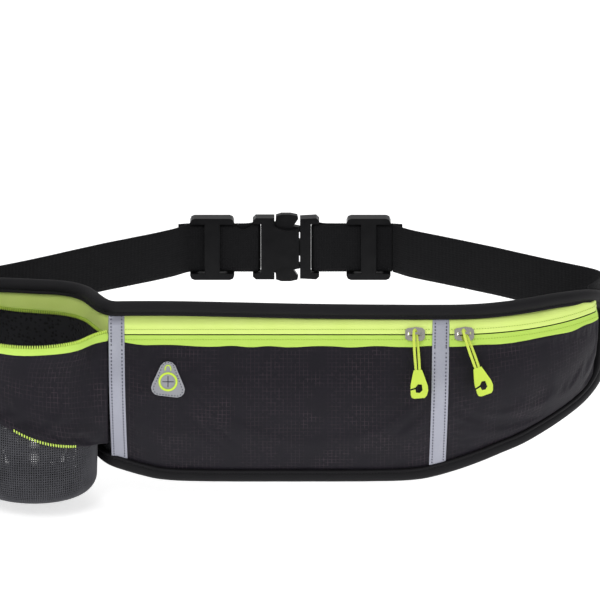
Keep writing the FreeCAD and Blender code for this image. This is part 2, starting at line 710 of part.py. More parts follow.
def strap(label, pts, both=None):
    """Webbing standing on edge along a plan polyline, thickness to its left."""
    b = new_body(label)
    s = sketch(b, "XY_Plane", label + "_plan", off=(0, 0, -WH / 2), off_expr="-dims.web_high / 2")
    i = off_poly(pts, WT)
    poly(s, pts + i[::-1])
    pad(b, s, WH, label + "_pad", expr="dims.web_high")
    return b


def D(x, d):
    return (x, FY + d)


# left belt: one strip from the bag, through the adjuster, round the buckle bar
# and back through the adjuster to its tail, which stands off behind the strip
RUN = [(180, 109.5), (168, 118.2), (152, 130.5), (136, 143), (120, 155), (103, 167),
       (90, 175.8), (78, 185.0), (71.5, 191.8)]
R_START = [(191.3, 57.7), (196.1, 67.3), (199.4, 75.6), (201.6, 83.5), (201.8, 89), (199, 94.5), (191.5, 101.3)]
L_START = [(-195.0, 74.2), (-200.0, 81.8), (-202.2, 88), (-201.8, 92.3), (-198.5, 96.2), (-191.5, 101.6)]
span_l = [D(x, d) for x, d in L_START] + [D(-x, d) for x, d in RUN]
inner = span_l + [D(-67.6, 195.2), D(-64, 195.8), D(-19.9, 195.8), D(-19.9, 202.1), D(-25.6, 202.1),
                  D(-27.9, 199.8), D(-64, 199.8), D(-75, 197.6), D(-75, 196.4), D(-64, 198.6),
                  D(-27.4, 198.6), D(-25.2, 200.9), D(-21.1, 200.9), D(-21.1, 197.0), D(-64.2, 197.0),
                  D(-68.3, 196.3)]
outer = off_poly(span_l, WT)
b = new_body("webbing_left")
s = sketch(b, "XY_Plane", "webl_plan", off=(0, 0, -WH / 2), off_expr="-dims.web_high / 2")
poly(s, inner + outer[::-1])
pad(b, s, WH, "webl_pad", expr="dims.web_high")

# right belt: the loop that the plug carries, and the span to the bag
b = new_body("webbing_right_loop")
s = sketch(b, "XY_Plane", "webr_plan", off=(0, 0, -WH / 2), off_expr="-dims.web_high / 2")
poly(s, [D(67.6, 195.8), D(14.0, 195.8), D(14.0, 202.1), D(19.7, 202.1), D(22.0, 199.8), D(64, 199.8),
         D(75, 197.6), D(75, 196.4), D(64, 198.6), D(21.5, 198.6), D(19.3, 200.9), D(15.2, 200.9),
         D(15.2, 197.0), D(67.6, 197.0)])
pad(b, s, WH, "webr_pad", expr="dims.web_high")
span_r = [D(x, d) for x, d in R_START] + [D(x, d) for x, d in RUN] + [D(68.2, 195.4)]
strap("webbing_right_span", span_r[::-1])


# adjusters ------------------------------------------------------------------
def adjuster(label, cx, sgn):
    AL, AH, AB, AR = c("adj_long"), c("adj_high"), c("adj_bar"), c("adj_rail")
    b = new_body(label)
    # rails above and below the webbing
    r = 3.0
    h, k = AL / 2, AH / 2
    zi = WH / 2 + 0.7
    s = sketch(b, "XZ_Plane", label + "_frame", off=(0, 0, -(BY + 3.6)))
    poly(s, [(-h + r, -k), (h - r, -k), (h - 0.9, -k + 0.9), (h, -k + r), (h, k - r), (h - 0.9, k - 0.9), (h - r, k),
             (-h + r, k), (-h + 0.9, k - 0.9), (-h, k - r), (-h, -k + r), (-h + 0.9, -k + 0.9)])
    pad(b, s, 9.4, label + "_block")
    # keep only rails, centre bar (inner side) and two outer bars (outer side)
    s = sketch(b, "XZ_Plane", label + "_thru", off=(0, 0, -(BY + 20)))
    rect(s, -h + 5.2, -zi, -AB / 2, zi)
    rect(s, AB / 2, -zi, h - 5.2, zi)
    pocket(b, s, label + "_slots", 60, mid=True)
    # webbing passage right through along the belt
    s = sketch(b, "XY_Plane", label + "_pass", off=(0, 0, -zi))
    poly(s, [(-h - 2, BY - 3.6), (h + 2, BY - 3.6), (h + 2, BY + 1.2), (-h - 2, BY + 1.2)])
    pocket(b, s, label + "_channel", 2 * zi, mid=False, rev=True)
    # outer bars only behind, centre bar only in front
    s = sketch(b, "XY_Plane", label + "_front", off=(0, 0, -zi))
    poly(s, [(-h - 2, BY - 10), (-AB / 2, BY - 10), (-AB / 2, BY), (-h - 2, BY)])
    poly(s, [(AB / 2, BY - 10), (h + 2, BY - 10), (h + 2, BY), (AB / 2, BY)])
    pocket(b, s, label + "_open", 2 * zi, mid=False, rev=True)
    s = sketch(b, "XY_Plane", label + "_back", off=(0, 0, -zi))
    poly(s, [(-AB / 2, BY + 1), (AB / 2, BY + 1), (AB / 2, BY + 12), (-AB / 2, BY + 12)])
    pocket(b, s, label + "_gap", 2 * zi, mid=False, rev=True)
    b.Placement = Placement(V(cx, 0, 0), Rotation())
    return b


AXC = c("adj_x")
adjuster("left_adjuster", -AXC, 1)
adjuster("right_adjuster", AXC, -1)

# buckle socket ----------------------------------------------------------------
SX0, SX1, QX0, QX1 = c("socket_x0"), c("socket_x1"), c("plug_x0"), c("plug_x1")
BH, BK = c("buckle_high") / 2, c("buckle_thk")
b = new_body("buckle_socket")
s = sketch(b, "XZ_Plane", "sock_out", off=(0, 0, -(BY + BK / 2)))
poly(s, [(SX0 + 2, -BH), (SX0 + 14, -BH), (SX1 - 1.5, -BH), (SX1, -BH + 1.5), (SX1, BH - 1.5), (SX1 - 1.5, BH),
         (SX0 + 2, BH), (SX0, BH - 2), (SX0, -BH + 2)])
pad(b, s, 9.0, "sock_pad", expr="dims.buckle_thk")
# cavity from the mouth
s = sketch(b, "YZ_Plane", "sock_cav", off=(0, 0, SX1 + 1))
rect(s, BY - 3.0, -BH + 2.4, BY + 3.0, BH - 2.4)
pocket(b, s, "sock_hollow", 23.5, mid=False, rev=False)
# side windows for the catch pads
s = sketch(b, "XZ_Plane", "sock_win", off=(0, 0, -BY))
for sg in (1, -1):
    poly(s, [(-10.6, sg * (BH + 3)), (-10.6, sg * 15.6), (-8, sg * 13.9), (-4, sg * 12.8), (0, sg * 12.6),
             (4, sg * 13.4), (SX1 + 2, sg * 14.6), (SX1 + 2, sg * (BH + 3))])
pocket(b, s, "sock_windows", 40, mid=True)
# webbing slot
s = sketch(b, "XZ_Plane", "sock_slot", off=(0, 0, -BY))
rect(s, SX0 + 3.4, -WH / 2 - 0.6, SX0 + 5.45, WH / 2 + 0.6)
pocket(b, s, "sock_slot_cut", 40, mid=True)
# thin the webbing bar
s = sketch(b, "XY_Plane", "sock_bar", off=(0, 0, -WH / 2 - 0.6))
for a0, a1 in ((-20, -1.5), (1.4, 20)):
    poly(s, [(SX0 - 3, BY + a0), (SX0 + 3.6, BY + a0), (SX0 + 3.6, BY + a1), (SX0 - 3, BY + a1)])
pocket(b, s, "sock_bar_cut", WH + 1.2, mid=False, rev=True)

# buckle plug with its guide tongue ---------------------------------------------
b = new_body("buckle_plug")
s = sketch(b, "XZ_Plane", "plug_out", off=(0, 0, -(BY + BK / 2)))
poly(s, [(QX0, -BH + 0.6), (QX1 - 2, -BH), (QX1, -BH + 2), (QX1, BH - 2), (QX1 - 2, BH), (QX0, BH - 0.6)])
pad(b, s, 9.0, "plug_pad", expr="dims.buckle_thk")
s = sketch(b, "XZ_Plane", "plug_tongue", off=(0, 0, -(BY + 2.4)))
poly(s, [(QX0 + 1, -5.5), (QX0 + 1, 5.5), (-10, 4.6), (-13, 3.2), (-13, -3.2), (-10, -4.6)])
pad(b, s, 4.8, "plug_tongue_pad")
s = sketch(b, "XZ_Plane", "plug_slot", off=(0, 0, -BY))
rect(s, 13.65, -WH / 2 - 0.6, 15.8, WH / 2 + 0.6)
pocket(b, s, "plug_slot_cut", 40, mid=True)
s = sketch(b, "XY_Plane", "plug_bar", off=(0, 0, -WH / 2 - 0.6))
for a0, a1 in ((-20, -1.5), (1.4, 20)):
    poly(s, [(15.6, BY + a0), (QX1 + 3, BY + a0), (QX1 + 3, BY + a1), (15.6, BY + a1)])
pocket(b, s, "plug_bar_cut", WH + 1.2, mid=False, rev=True)
# seats for the two arms
s = sketch(b, "XZ_Plane", "plug_seat", off=(0, 0, -BY))
for sg in (1, -1):
    poly(s, [(QX0 - 1, sg * 8.6), (QX0 + 3.0, sg * 8.6), (QX0 + 3.0, sg * 18.6), (QX0 - 1, sg * 18.6)])
pocket(b, s, "plug_seats", 5.8, mid=True)

# catch arms: they flex about their roots in the plug
for label, sg in (("catch_arm_upper", 1), ("catch_arm_lower", -1)):
    b = new_body(label)
    s = sketch(b, "XZ_Plane", label + "_sk", off=(0, 0, -(BY + 2.4)))
    poly(s, [(x, sg * z) for x, z in ((QX0 + 2.6, 10.6), (QX0 + 2.6, 13.6), (2.0, 15.2), (5.2, 20.0), (4.6, 22.2), (0, 23.2),
                                      (-6, 23.2), (-9.6, 22.0), (-9.8, 17.4), (-14.5, 15.2), (-16.4, 12.4), (-13.5, 11.4),
                                      (-8, 12.8), (-2, 12.2))])
    pad(b, s, 4.8, label + "_pad")

# ------------------------------------------------------------------ check, write
doc.recompute()
bad = [o.Name for o in doc.Objects if "Invalid" in o.State or "Error" in o.State]
if bad:
    raise RuntimeError("failed objects: %s" % bad)
out = []
for label, obj in PARTS:
    sh = obj.Shape
    if sh.isNull() or not sh.isValid() or not sh.Solids:
        raise RuntimeError("bad shape: " + label)
    out.append((label, sh))
# seam allowances: each layer ends where the piece that it is sewn into begins
SEAMS = (
    ("main_front_panel", ("bottom_binding", "back_panel", "main_zip_tape_lower")),
    ("side_zip_tape_lower", ("bottom_binding", "top_binding")),
    ("side_zip_tape_upper", ("top_binding", "bottom_binding")),
    ("side_zip_coil_upper", ("top_binding", "bottom_binding")),
    ("side_zip_coil_lower", ("top_binding", "bottom_binding")),
    ("side_front_panel", ("bottom_binding", "top_binding", "back_panel", "side_zip_tape_lower")),
    ("main_zip_tape_upper", ("top_binding",)),
    ("holster_zip_tape_back", ("top_binding", "bottom_binding", "back_panel")),
    ("holster_zip_coil_back", ("top_binding", "bottom_binding", "back_panel")),
    ("left_end_wall", ("bottom_binding", "top_binding", "main_front_panel")),
    ("pocket_divider", ("bottom_binding", "top_binding", "main_front_panel")),
    ("mesh_pouch", ("bottom_binding", "back_panel")),
    ("holster_band", ("bottom_binding", "top_binding", "back_panel")),
    ("holster_zip_tape_front", ("bottom_binding", "top_binding", "back_panel")),
    ("reflective_strip_left", ("bottom_binding", "top_binding", "main_front_panel")),
    ("reflective_strip_right", ("bottom_binding", "top_binding", "side_front_panel", "main_front_panel")),
)
shapes = dict(out)
for label, others in SEAMS:
    for other in others:
        a, b = shapes[label], shapes[other]
        if not a.BoundBox.intersect(b.BoundBox):
            continue
        v = a.common(b).Volume
        if v < 1e-3:
            continue
        r = a.cut(b)
        sol = sorted(r.Solids, key=lambda q: -q.Volume)
        if not sol or not sol[0].isValid():
            raise RuntimeError("seam %s %s" % (label, other))
        print("seam %-24s %-20s %8.2f mm3, pieces %s" % (label, other, v, [round(q.Volume, 2) for q in sol]))
        shapes[label] = sol[0]
out = [(label, shapes[label]) for label, sh in out]
os.makedirs("parts", exist_ok=True)
for label, sh in out:
    keep = sh if len(sh.Solids) > 1 else sh.Solids[0]
    bb = keep.BoundBox
    print("%-26s solids %d vol %9.1f  x %7.1f %7.1f  y %7.1f %7.1f  z %7.1f %7.1f" % (
        label, len(sh.Solids), sh.Volume, bb.XMin, bb.XMax, bb.YMin, bb.YMax, bb.ZMin, bb.ZMax))
    keep.exportStep(os.path.join("parts", label + ".step"))
print("parts", len(out))
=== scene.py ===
import bpy
import bmesh
import math
import random
import numpy as np
from mathutils import Matrix, Vector, noise


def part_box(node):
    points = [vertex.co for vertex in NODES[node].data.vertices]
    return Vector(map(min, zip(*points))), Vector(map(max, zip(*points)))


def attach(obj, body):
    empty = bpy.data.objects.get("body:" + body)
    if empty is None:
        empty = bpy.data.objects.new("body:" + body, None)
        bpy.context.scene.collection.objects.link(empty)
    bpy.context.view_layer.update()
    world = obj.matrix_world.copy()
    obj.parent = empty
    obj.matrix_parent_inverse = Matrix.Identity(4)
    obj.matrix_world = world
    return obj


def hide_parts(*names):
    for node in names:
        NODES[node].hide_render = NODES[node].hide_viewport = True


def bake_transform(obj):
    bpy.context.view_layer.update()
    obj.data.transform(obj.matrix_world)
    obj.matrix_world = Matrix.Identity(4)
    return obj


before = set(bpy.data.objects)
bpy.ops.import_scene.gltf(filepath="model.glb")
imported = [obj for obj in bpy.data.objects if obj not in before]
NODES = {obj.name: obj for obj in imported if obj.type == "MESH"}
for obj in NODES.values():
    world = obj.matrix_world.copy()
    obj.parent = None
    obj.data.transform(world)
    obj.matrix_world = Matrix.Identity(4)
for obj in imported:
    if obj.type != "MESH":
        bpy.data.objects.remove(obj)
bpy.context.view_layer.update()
MM = 0.001

# ------------------------------------------------------------------ camera
ELEV = math.radians(17.5)
sc = bpy.context.scene
cam_d = bpy.data.cameras.new("camera")
cam = bpy.data.objects.new("camera", cam_d)
sc.collection.objects.link(cam)
sc.camera = cam
TARGET = Vector((0.0064, -0.103, 0.0257))
DIST = 5.0
cam.location = TARGET + Vector((0, -math.cos(ELEV), math.sin(ELEV))) * DIST
cam.rotation_euler = (math.pi / 2 - ELEV, 0, 0)
cam_d.sensor_width = 36.0
cam_d.lens = 36.0 * DIST / 0.384
cam_d.clip_end = 60.0
cam_d.clip_start = 0.05
sc.view_settings.view_transform = "Standard"


# ------------------------------------------------------------- plan geometry
FY, CX, CR = -103.0, 102.4, 109.0
CY = FY + CR
LEFT = [(-209.5, 88), (-206, 78), (-200, 69), (-190, 60.5), (-178, 54.5), (-164, 50.5), (-150, 47),
        (-139, 41), (-131, 31.5), (-126, 20), (-121, 8.5), (-116.5, 2.2), (-112, 0)]


def catmull(pts, per=8):
    p = [np.array(q, float) for q in pts]
    p = [2 * p[0] - p[1]] + p + [2 * p[-1] - p[-2]]
    out = []
    for i in range(1, len(p) - 2):
        for k in range(per):
            t = k / per
            a, b, c_, d = p[i - 1], p[i], p[i + 1], p[i + 2]
            out.append(0.5 * ((2 * b) + (-a + c_) * t + (2 * a - 5 * b + 4 * c_ - d) * t * t
                              + (-a + 3 * b - 3 * c_ + d) * t ** 3))
    out.append(p[-2])
    return np.array(out)


_lp = catmull([(x, FY + d) for x, d in LEFT], 8)
_mid = np.array([(x, FY) for x in np.linspace(-111, CX, 110)])
_rt = np.array([(CX + CR * math.sin(a), CY - CR * math.cos(a)) for a in np.radians(np.linspace(0.5, 80, 160))])
PL = np.vstack([_lp, _mid, _rt])
_seg = np.hypot(*np.diff(PL, axis=0).T)
_cum = np.concatenate([[0], np.cumsum(_seg)])
_s0 = _cum[len(_lp) - 1] + 112.0
PS = _cum - _s0                       # PS = 0 at X = 0, equals X on the straight
_tan = np.gradient(PL, PS, axis=0)
_tan /= np.linalg.norm(_tan, axis=1)[:, None]
NRM = np.stack([_tan[:, 1], -_tan[:, 0]], axis=1)   # outward


def at_s(s):
    x = np.interp(s, PS, PL[:, 0]); y = np.interp(s, PS, PL[:, 1])
    nx = np.interp(s, PS, NRM[:, 0]); ny = np.interp(s, PS, NRM[:, 1])
    l = math.hypot(nx, ny)
    return x, y, nx / l, ny / l


def s_of_x(x):
    return float(np.interp(x, PL[:, 0], PS))


def P(s, out, z):
    x, y, nx, ny = at_s(s)
    return (x + nx * out, y + ny * out, z)


# outline seen from the front
TZ, BW = 23.4, 9.0
BOT = [(0, -97.2), (60, -97.2), (83, -96.0), (95, -93.2), (106, -89.8), (123.5, -83.9), (134.4, -79.8),
       (148, -75.9), (161.3, -70.3), (176, -64.1), (190.7, -57.4), (199.5, -50.5), (205.0, -42.0), (207.6, -30)]
TOPR = [(209.2, -1), (207.4, 5), (203, 11.2), (196, 16.4), (186, 20.0), (170, 22.6)]
TOPMID = [(150, 22.7), (120, 22.2), (90, 22.0), (50, 22.2), (0, 22.9), (-45, 24.0), (-75, 24.6), (-105, 24.6), (-140, 24.0)]
LTOP = [(-170, 23.4), (-186, 22.4), (-196, 20.2), (-203, 17.2), (-207, 13.5), (-209.2, 8)]
OUTER = BOT + TOPR + TOPMID + LTOP + [(-x, z) for x, z in BOT[::-1]][:-1]


def resample(ring, step):
    """Closed ring smoothed and evenly spaced."""
    r = np.array(ring, float)
    for _ in range(3):
        q = 0.75 * r + 0.25 * np.roll(r, -1, axis=0)
        w = 0.25 * r + 0.75 * np.roll(r, -1, axis=0)
        r = np.stack([q, w], axis=1).reshape(-1, 2)
    c = np.vstack([r, r[:1]])
    d = np.concatenate([[0], np.cumsum(np.hypot(*np.diff(c, axis=0).T))])
    n = int(d[-1] / step)
    t = np.linspace(0, d[-1], n, endpoint=False)
    return np.stack([np.interp(t, d, c[:, 0]), np.interp(t, d, c[:, 1])], axis=1)


ring_o = resample(OUTER, 2.0)
rt = np.roll(ring_o, -1, axis=0) - np.roll(ring_o, 1, axis=0)
rt /= np.linalg.norm(rt, axis=1)[:, None]
rn = np.stack([-rt[:, 1], rt[:, 0]], axis=1)          # inward
ring_i = ring_o + rn * BW
# lower and upper inner lines as functions of x
_lo = ring_i[ring_i[:, 1] < -20]
_lo = _lo[np.argsort(_lo[:, 0])]
_hi = ring_i[ring_i[:, 1] > 8]
_hi = _hi[np.argsort(_hi[:, 0])]


def z_lo(x):
    return float(np.interp(x, _lo[:, 0], _lo[:, 1]))


def z_hi(x):
    return float(np.interp(x, _hi[:, 0], _hi[:, 1]))


# zip band section
LEAN = math.radians(26.0)
ZL, ZO = 5.0, 8.0


def band(t, n):
    """(out, z) at t mm down the zip band and n mm off its face."""
    return (ZO + math.sin(LEAN) * t + math.cos(LEAN) * n, ZL - math.cos(LEAN) * t + math.sin(LEAN) * n)


def tuck(t, out):
    """The upper tape bends in under the edge binding."""
    if t > -5.6:
        return out
    return out - 3.0 * min(1.0, (-t - 5.6) / 4.0) ** 1.4


def end_fade(s):
    """1 along the bag, falling where the pocket closes at its right end."""
    a = (s - CX) / CR * 180 / math.pi
    if a < 54.5:
        return 1.0
    return max(0.25, 1 - (a - 54.5) / 4.0 * 0.75)


LOWX = [-117, -110, -104, -92, -60, -25, 80, 118, 134, 168, 186, 198, 206, 214]
LOWT = [4.4, 4.6, 5.2, 6.6, 7.2, 7.7, 7.7, 7.4, 7.1, 6.7, 6.2, 5.6, 4.4, 3.0]


def low_t(s):
    """Width of the lower tape at s."""
    return float(np.interp(s, LOWX, LOWT))


def belly(s, u):
    """(out, z) of the lower shell, u = 0 at the zip band, 1 at the bottom."""
    x = at_s(s)[0]
    o0, z0 = band(low_t(s) - 0.5, -0.1)
    f = end_fade(s)
    o0 = 1.5 + (o0 - 1.5) * f
    z1 = z_lo(min(max(x, -199), 199)) - 1.0
    o1 = 1.2
    a = max(0.0, (s - CX)) / CR * 180 / math.pi
    sw = float(np.interp(a, [0, 10, 20, 31, 42, 52, 62], [11.5, 9.8, 8.4, 6.8, 5.2, 3.6, 1.2])) * f
    z = z0 + (z1 - z0) * u
    out = o0 + (o1 - o0) * u + sw * math.sin(math.pi * u ** 0.9) * (1 + 0.35 * (1 - u))
    return out, z


# ------------------------------------------------------------- mesh helpers
def make(name, verts, faces, wv=None, smooth=True):
    me = bpy.data.meshes.new(name)
    me.from_pydata([(x * MM, y * MM, z * MM) for x, y, z in verts], [], faces)
    me.update()
    ob = bpy.data.objects.new(name, me)
    sc.collection.objects.link(ob)
    if wv is not None:
        at = me.attributes.new("wv", "FLOAT_VECTOR", "POINT")
        at.data.foreach_set("vector", np.array(wv, np.float32).reshape(-1))
    if smooth:
        me.polygons.foreach_set("use_smooth", [True] * len(me.polygons))
    return ob


def grid(name, us, vs, f, closed_u=False, closed_v=False):
    """Surface through f(u, v) -> point; wv keeps true lengths along both ways."""
    n, m = len(us), len(vs)
    pts = np.array([[f(u, v) for v in vs] for u in us], float)
    du = np.zeros((n, m)); dv = np.zeros((n, m))
    du[1:] = np.cumsum(np.linalg.norm(np.diff(pts, axis=0), axis=2).mean(axis=1))[:, None]
    dv[:, 1:] = np.cumsum(np.linalg.norm(np.diff(pts, axis=1), axis=2).mean(axis=0))[None, :]
    faces = []
    for i in range(n if closed_u else n - 1):
        for j in range(m if closed_v else m - 1):
            a, b = i * m + j, ((i + 1) % n) * m + j
            c_, d = ((i + 1) % n) * m + (j + 1) % m, i * m + (j + 1) % m
            faces.append((a, b, c_, d))
    wv = np.stack([du, dv, np.zeros_like(du)], axis=2).reshape(-1, 3) * MM
    return make(name, pts.reshape(-1, 3), faces, wv)


def orient(ob, ref=(0, 140, -30)):
    """Turns the faces away from a point inside the piece."""
    me = ob.data
    r = Vector(ref) * MM
    tot = 0.0
    for f in me.polygons:
        tot += f.normal.dot((f.center - r).normalized()) * f.area
    if tot < 0:
        me.flip_normals()
    return ob


def solid(ob, th, offset=-1.0):
    m = ob.modifiers.new("thickness", "SOLIDIFY")
    m.thickness = th * MM
    m.offset = offset
    m.use_even_offset = False
    return ob


def orient_closed(ob):
    """Outward faces on a closed piece."""
    bm = bmesh.new()
    bm.from_mesh(ob.data)
    bmesh.ops.recalc_face_normals(bm, faces=bm.faces)
    bm.to_mesh(ob.data)
    bm.free()
    return ob


def subsurf(ob, lv=1):
    m = ob.modifiers.new("smooth", "SUBSURF")
    m.levels = lv
    m.render_levels = lv
    return ob


def bake_mods(ob):
    """Applies the modifiers so that the piece is one plain mesh."""
    dg = bpy.context.evaluated_depsgraph_get()
    me = bpy.data.meshes.new_from_object(ob.evaluated_get(dg), preserve_all_data_layers=True, depsgraph=dg)
    old = ob.data
    ob.modifiers.clear()
    ob.data = me
    bpy.data.meshes.remove(old)
    return ob


def nz(x, y, z, sc_=1.0, seed=0.0):
    return noise.noise(Vector((x * sc_ + seed, y * sc_ + seed * 1.7, z * sc_ - seed)))


def stitches(name, rows, r=0.28, ln=1.5):
    """Short sewn threads: rows of (point, direction, normal), lengths in mm."""
    verts, faces = [], []
    for p, d, nrm in rows:
        p, d, nrm = Vector(p), Vector(d).normalized(), Vector(nrm).normalized()
        b = d.cross(nrm).normalized()
        base = len(verts)
        for k, (t, w, h) in enumerate(((-0.5, 0.35, 0.0), (-0.28, 1.0, 0.9), (0.28, 1.0, 0.9), (0.5, 0.35, 0.0))):
            c_ = p + d * (t * ln) + nrm * (h * r * 0.55)
            for q in range(6):
                a = q * math.pi / 3
                verts.append(tuple(c_ + b * (math.cos(a) * r * w) + nrm * (math.sin(a) * r * w * 0.8)))
        for k in range(3):
            for q in range(6):
                a0 = base + k * 6 + q
                a1 = base + k * 6 + (q + 1) % 6
                faces.append((a0, a1, a1 + 6, a0 + 6))
        faces.append(tuple(base + q for q in range(5, -1, -1)))
        faces.append(tuple(base + 18 + q for q in range(6)))
    return make(name, verts, faces)


# ---------------------------------------------------------------- materials
class Mat:
    def __init__(self, name):
        self.m = bpy.data.materials.new(name)
        self.m.use_nodes = True
        self.nt = self.m.node_tree
        self.b = self.nt.nodes["Principled BSDF"]

    def n(self, kind, **kw):
        x = self.nt.nodes.new(kind)
        for k, v in kw.items():
            setattr(x, k, v)
        return x

    def link(self, a, b):
        self.nt.links.new(a, b)

    def math(self, op, a, b=None, clamp=False):
        x = self.n("ShaderNodeMath", operation=op, use_clamp=clamp)
        for i, v in enumerate((a, b)):
            if v is None:
                continue
            if isinstance(v, (int, float)):
                x.inputs[i].default_value = v
            else:
                self.link(v, x.inputs[i])
        return x.outputs[0]

    def mix(self, f, a, b):
        x = self.n("ShaderNodeMix", data_type="RGBA")
        for i, v in ((0, f), (6, a), (7, b)):
            if isinstance(v, (int, float)):
                x.inputs[i].default_value = v
            elif isinstance(v, tuple):
                x.inputs[i].default_value = v + (1.0,) if len(v) == 3 else v
            else:
                self.link(v, x.inputs[i])
        return x.outputs[2]

    def coord(self, wv=True):
        if wv:
            a = self.n("ShaderNodeAttribute", attribute_name="wv")
            return a.outputs["Vector"]
        return self.n("ShaderNodeTexCoord").outputs["Object"]

    def sep(self, v):
        x = self.n("ShaderNodeSeparateXYZ")
        self.link(v, x.inputs[0])
        return x.outputs

    def noise(self, v, scale, detail=3.0, rough=0.55):
        x = self.n("ShaderNodeTexNoise")
        x.inputs["Scale"].default_value = scale
        x.inputs["Detail"].default_value = detail
        x.inputs["Roughness"].default_value = rough
        self.link(v, x.inputs["Vector"])
        return x.outputs["Fac"]

    def ramp(self, v, a, b):
        x = self.n("ShaderNodeMapRange", clamp=True)
        x.inputs["From Min"].default_value = a
        x.inputs["From Max"].default_value = b
        self.link(v, x.inputs["Value"])
        return x.outputs[0]

    def wave(self, x, pitch, phase=0.0):
        """0..1 triangle-like wave of the given pitch in metres."""
        a = self.math("MULTIPLY", x, 2 * math.pi / pitch)
        if phase:
            a = self.math("ADD", a, phase)
        return self.math("MULTIPLY_ADD_", a) if False else self.math("ADD", self.math("MULTIPLY", self.math("SINE", a), 0.5), 0.5)

    def bump(self, h, dist, strength=1.0):
        x = self.n("ShaderNodeBump")
        x.inputs["Strength"].default_value = strength
        x.inputs["Distance"].default_value = dist
        self.link(h, x.inputs["Height"])
        self.link(x.outputs[0], self.b.inputs["Normal"])

    def set(self, **kw):
        for k, v in kw.items():
            self.b.inputs[k.replace("_", " ")].default_value = v
        return self


def srgb(r, g, b):
    f = lambda c: (c / 255 / 12.92) if c / 255 <= 0.04045 else ((c / 255 + 0.055) / 1.055) ** 2.4
    return (f(r), f(g), f(b))


def fabric_plaid(name):
    """Thin dark cloth with a broken fine check of slightly lighter threads."""
    m = Mat(name)
    v = m.coord(); x, y, _ = m.sep(v)
    big = m.noise(v, 60, 2)
    lx = m.ramp(m.wave(x, 0.0026), 0.90, 0.99)
    ly = m.ramp(m.wave(y, 0.0026), 0.90, 0.99)
    px = m.ramp(m.noise(v, 34, 3), 0.44, 0.62)
    brk = m.ramp(m.noise(v, 260, 2), 0.36, 0.56)
    wide = m.ramp(m.wave(x, 0.027), 0.35, 0.9)
    mask = m.math("MULTIPLY", m.math("MAXIMUM", px, m.math("MULTIPLY", wide, 0.45)), brk)
    lines = m.math("MULTIPLY", m.math("MAXIMUM", lx, m.math("MULTIPLY", ly, 0.85)), mask)
    fine = m.math("MULTIPLY", m.wave(x, 0.0005), m.wave(y, 0.0005))
    base = m.mix(big, srgb(20, 18, 25), srgb(28, 25, 33))
    col = m.mix(m.math("MULTIPLY", lines, 0.6), base, srgb(72, 60, 68))
    col = m.mix(m.math("MULTIPLY", fine, 0.25), col, srgb(24, 23, 28))
    m.link(col, m.b.inputs["Base Color"])
    m.link(m.math("ADD", m.math("MULTIPLY", big, 0.12), 0.52), m.b.inputs["Roughness"])
    h = m.math("ADD", m.math("MULTIPLY", lines, 0.6), m.math("MULTIPLY", fine, 0.35))
    m.bump(h, 0.00012, 0.8)
    m.set(Sheen_Weight=0.02, Sheen_Roughness=0.5, Specular_IOR_Level=0.16)
    return m.m


def fabric_binding(name):
    m = Mat(name)
    v = m.coord(); x, y, _ = m.sep(v)
    rib = m.wave(x, 0.0007)
    big = m.noise(v, 90, 3)
    col = m.mix(big, srgb(15, 14, 17), srgb(24, 23, 26))
    col = m.mix(m.math("MULTIPLY", rib, 0.25), col, srgb(20, 20, 23))
    m.link(col, m.b.inputs["Base Color"])
    m.link(m.math("ADD", m.math("MULTIPLY", big, 0.2), 0.55), m.b.inputs["Roughness"])
    m.bump(m.math("ADD", m.math("MULTIPLY", rib, 0.5), m.math("MULTIPLY", m.noise(v, 900, 2), 0.5)), 0.0001, 0.8)
    m.set(Sheen_Weight=0.03, Sheen_Roughness=0.4, Specular_IOR_Level=0.2)
    return m.m


def fabric_lime(name, a, b):
    """Zip tape: fine twill across, slightly uneven colour."""
    m = Mat(name)
    v = m.coord(); x, y, _ = m.sep(v)
    tw = m.wave(m.math("ADD", x, y), 0.0009)
    wv = m.math("MULTIPLY", m.wave(x, 0.0006), m.wave(y, 0.0006))
    big = m.noise(v, 45, 2)
    col = m.mix(big, a, b)
    col = m.mix(m.math("MULTIPLY", tw, 0.10), col, tuple(c * 0.72 for c in a))
    m.link(col, m.b.inputs["Base Color"])
    m.link(m.math("ADD", m.math("MULTIPLY", big, 0.15), 0.5), m.b.inputs["Roughness"])
    m.bump(m.math("ADD", wv, m.math("MULTIPLY", tw, 0.4)), 0.00008, 0.6)
    m.set(Sheen_Weight=0.1)
    return m.m


def webbing_mat(name):
    m = Mat(name)
    v = m.coord(); x, y, _ = m.sep(v)
    rib = m.wave(x, 0.0011)
    wrp = m.wave(y, 0.0016)
    big = m.noise(v, 70, 3)
    spk = m.noise(v, 1600, 2)
    col = m.mix(big, srgb(15, 15, 17), srgb(22, 22, 24))
    col = m.mix(m.math("MULTIPLY", spk, m.math("MULTIPLY", rib, 0.5)), col, srgb(38, 38, 40))
    m.link(col, m.b.inputs["Base Color"])
    m.link(m.math("ADD", m.math("MULTIPLY", spk, 0.2), 0.62), m.b.inputs["Roughness"])
    m.bump(m.math("ADD", rib, m.math("ADD", m.math("MULTIPLY", wrp, 0.5), m.math("MULTIPLY", spk, 0.9))), 0.0002, 0.9)
    m.set(Sheen_Weight=0.02, Specular_IOR_Level=0.15)
    return m.m


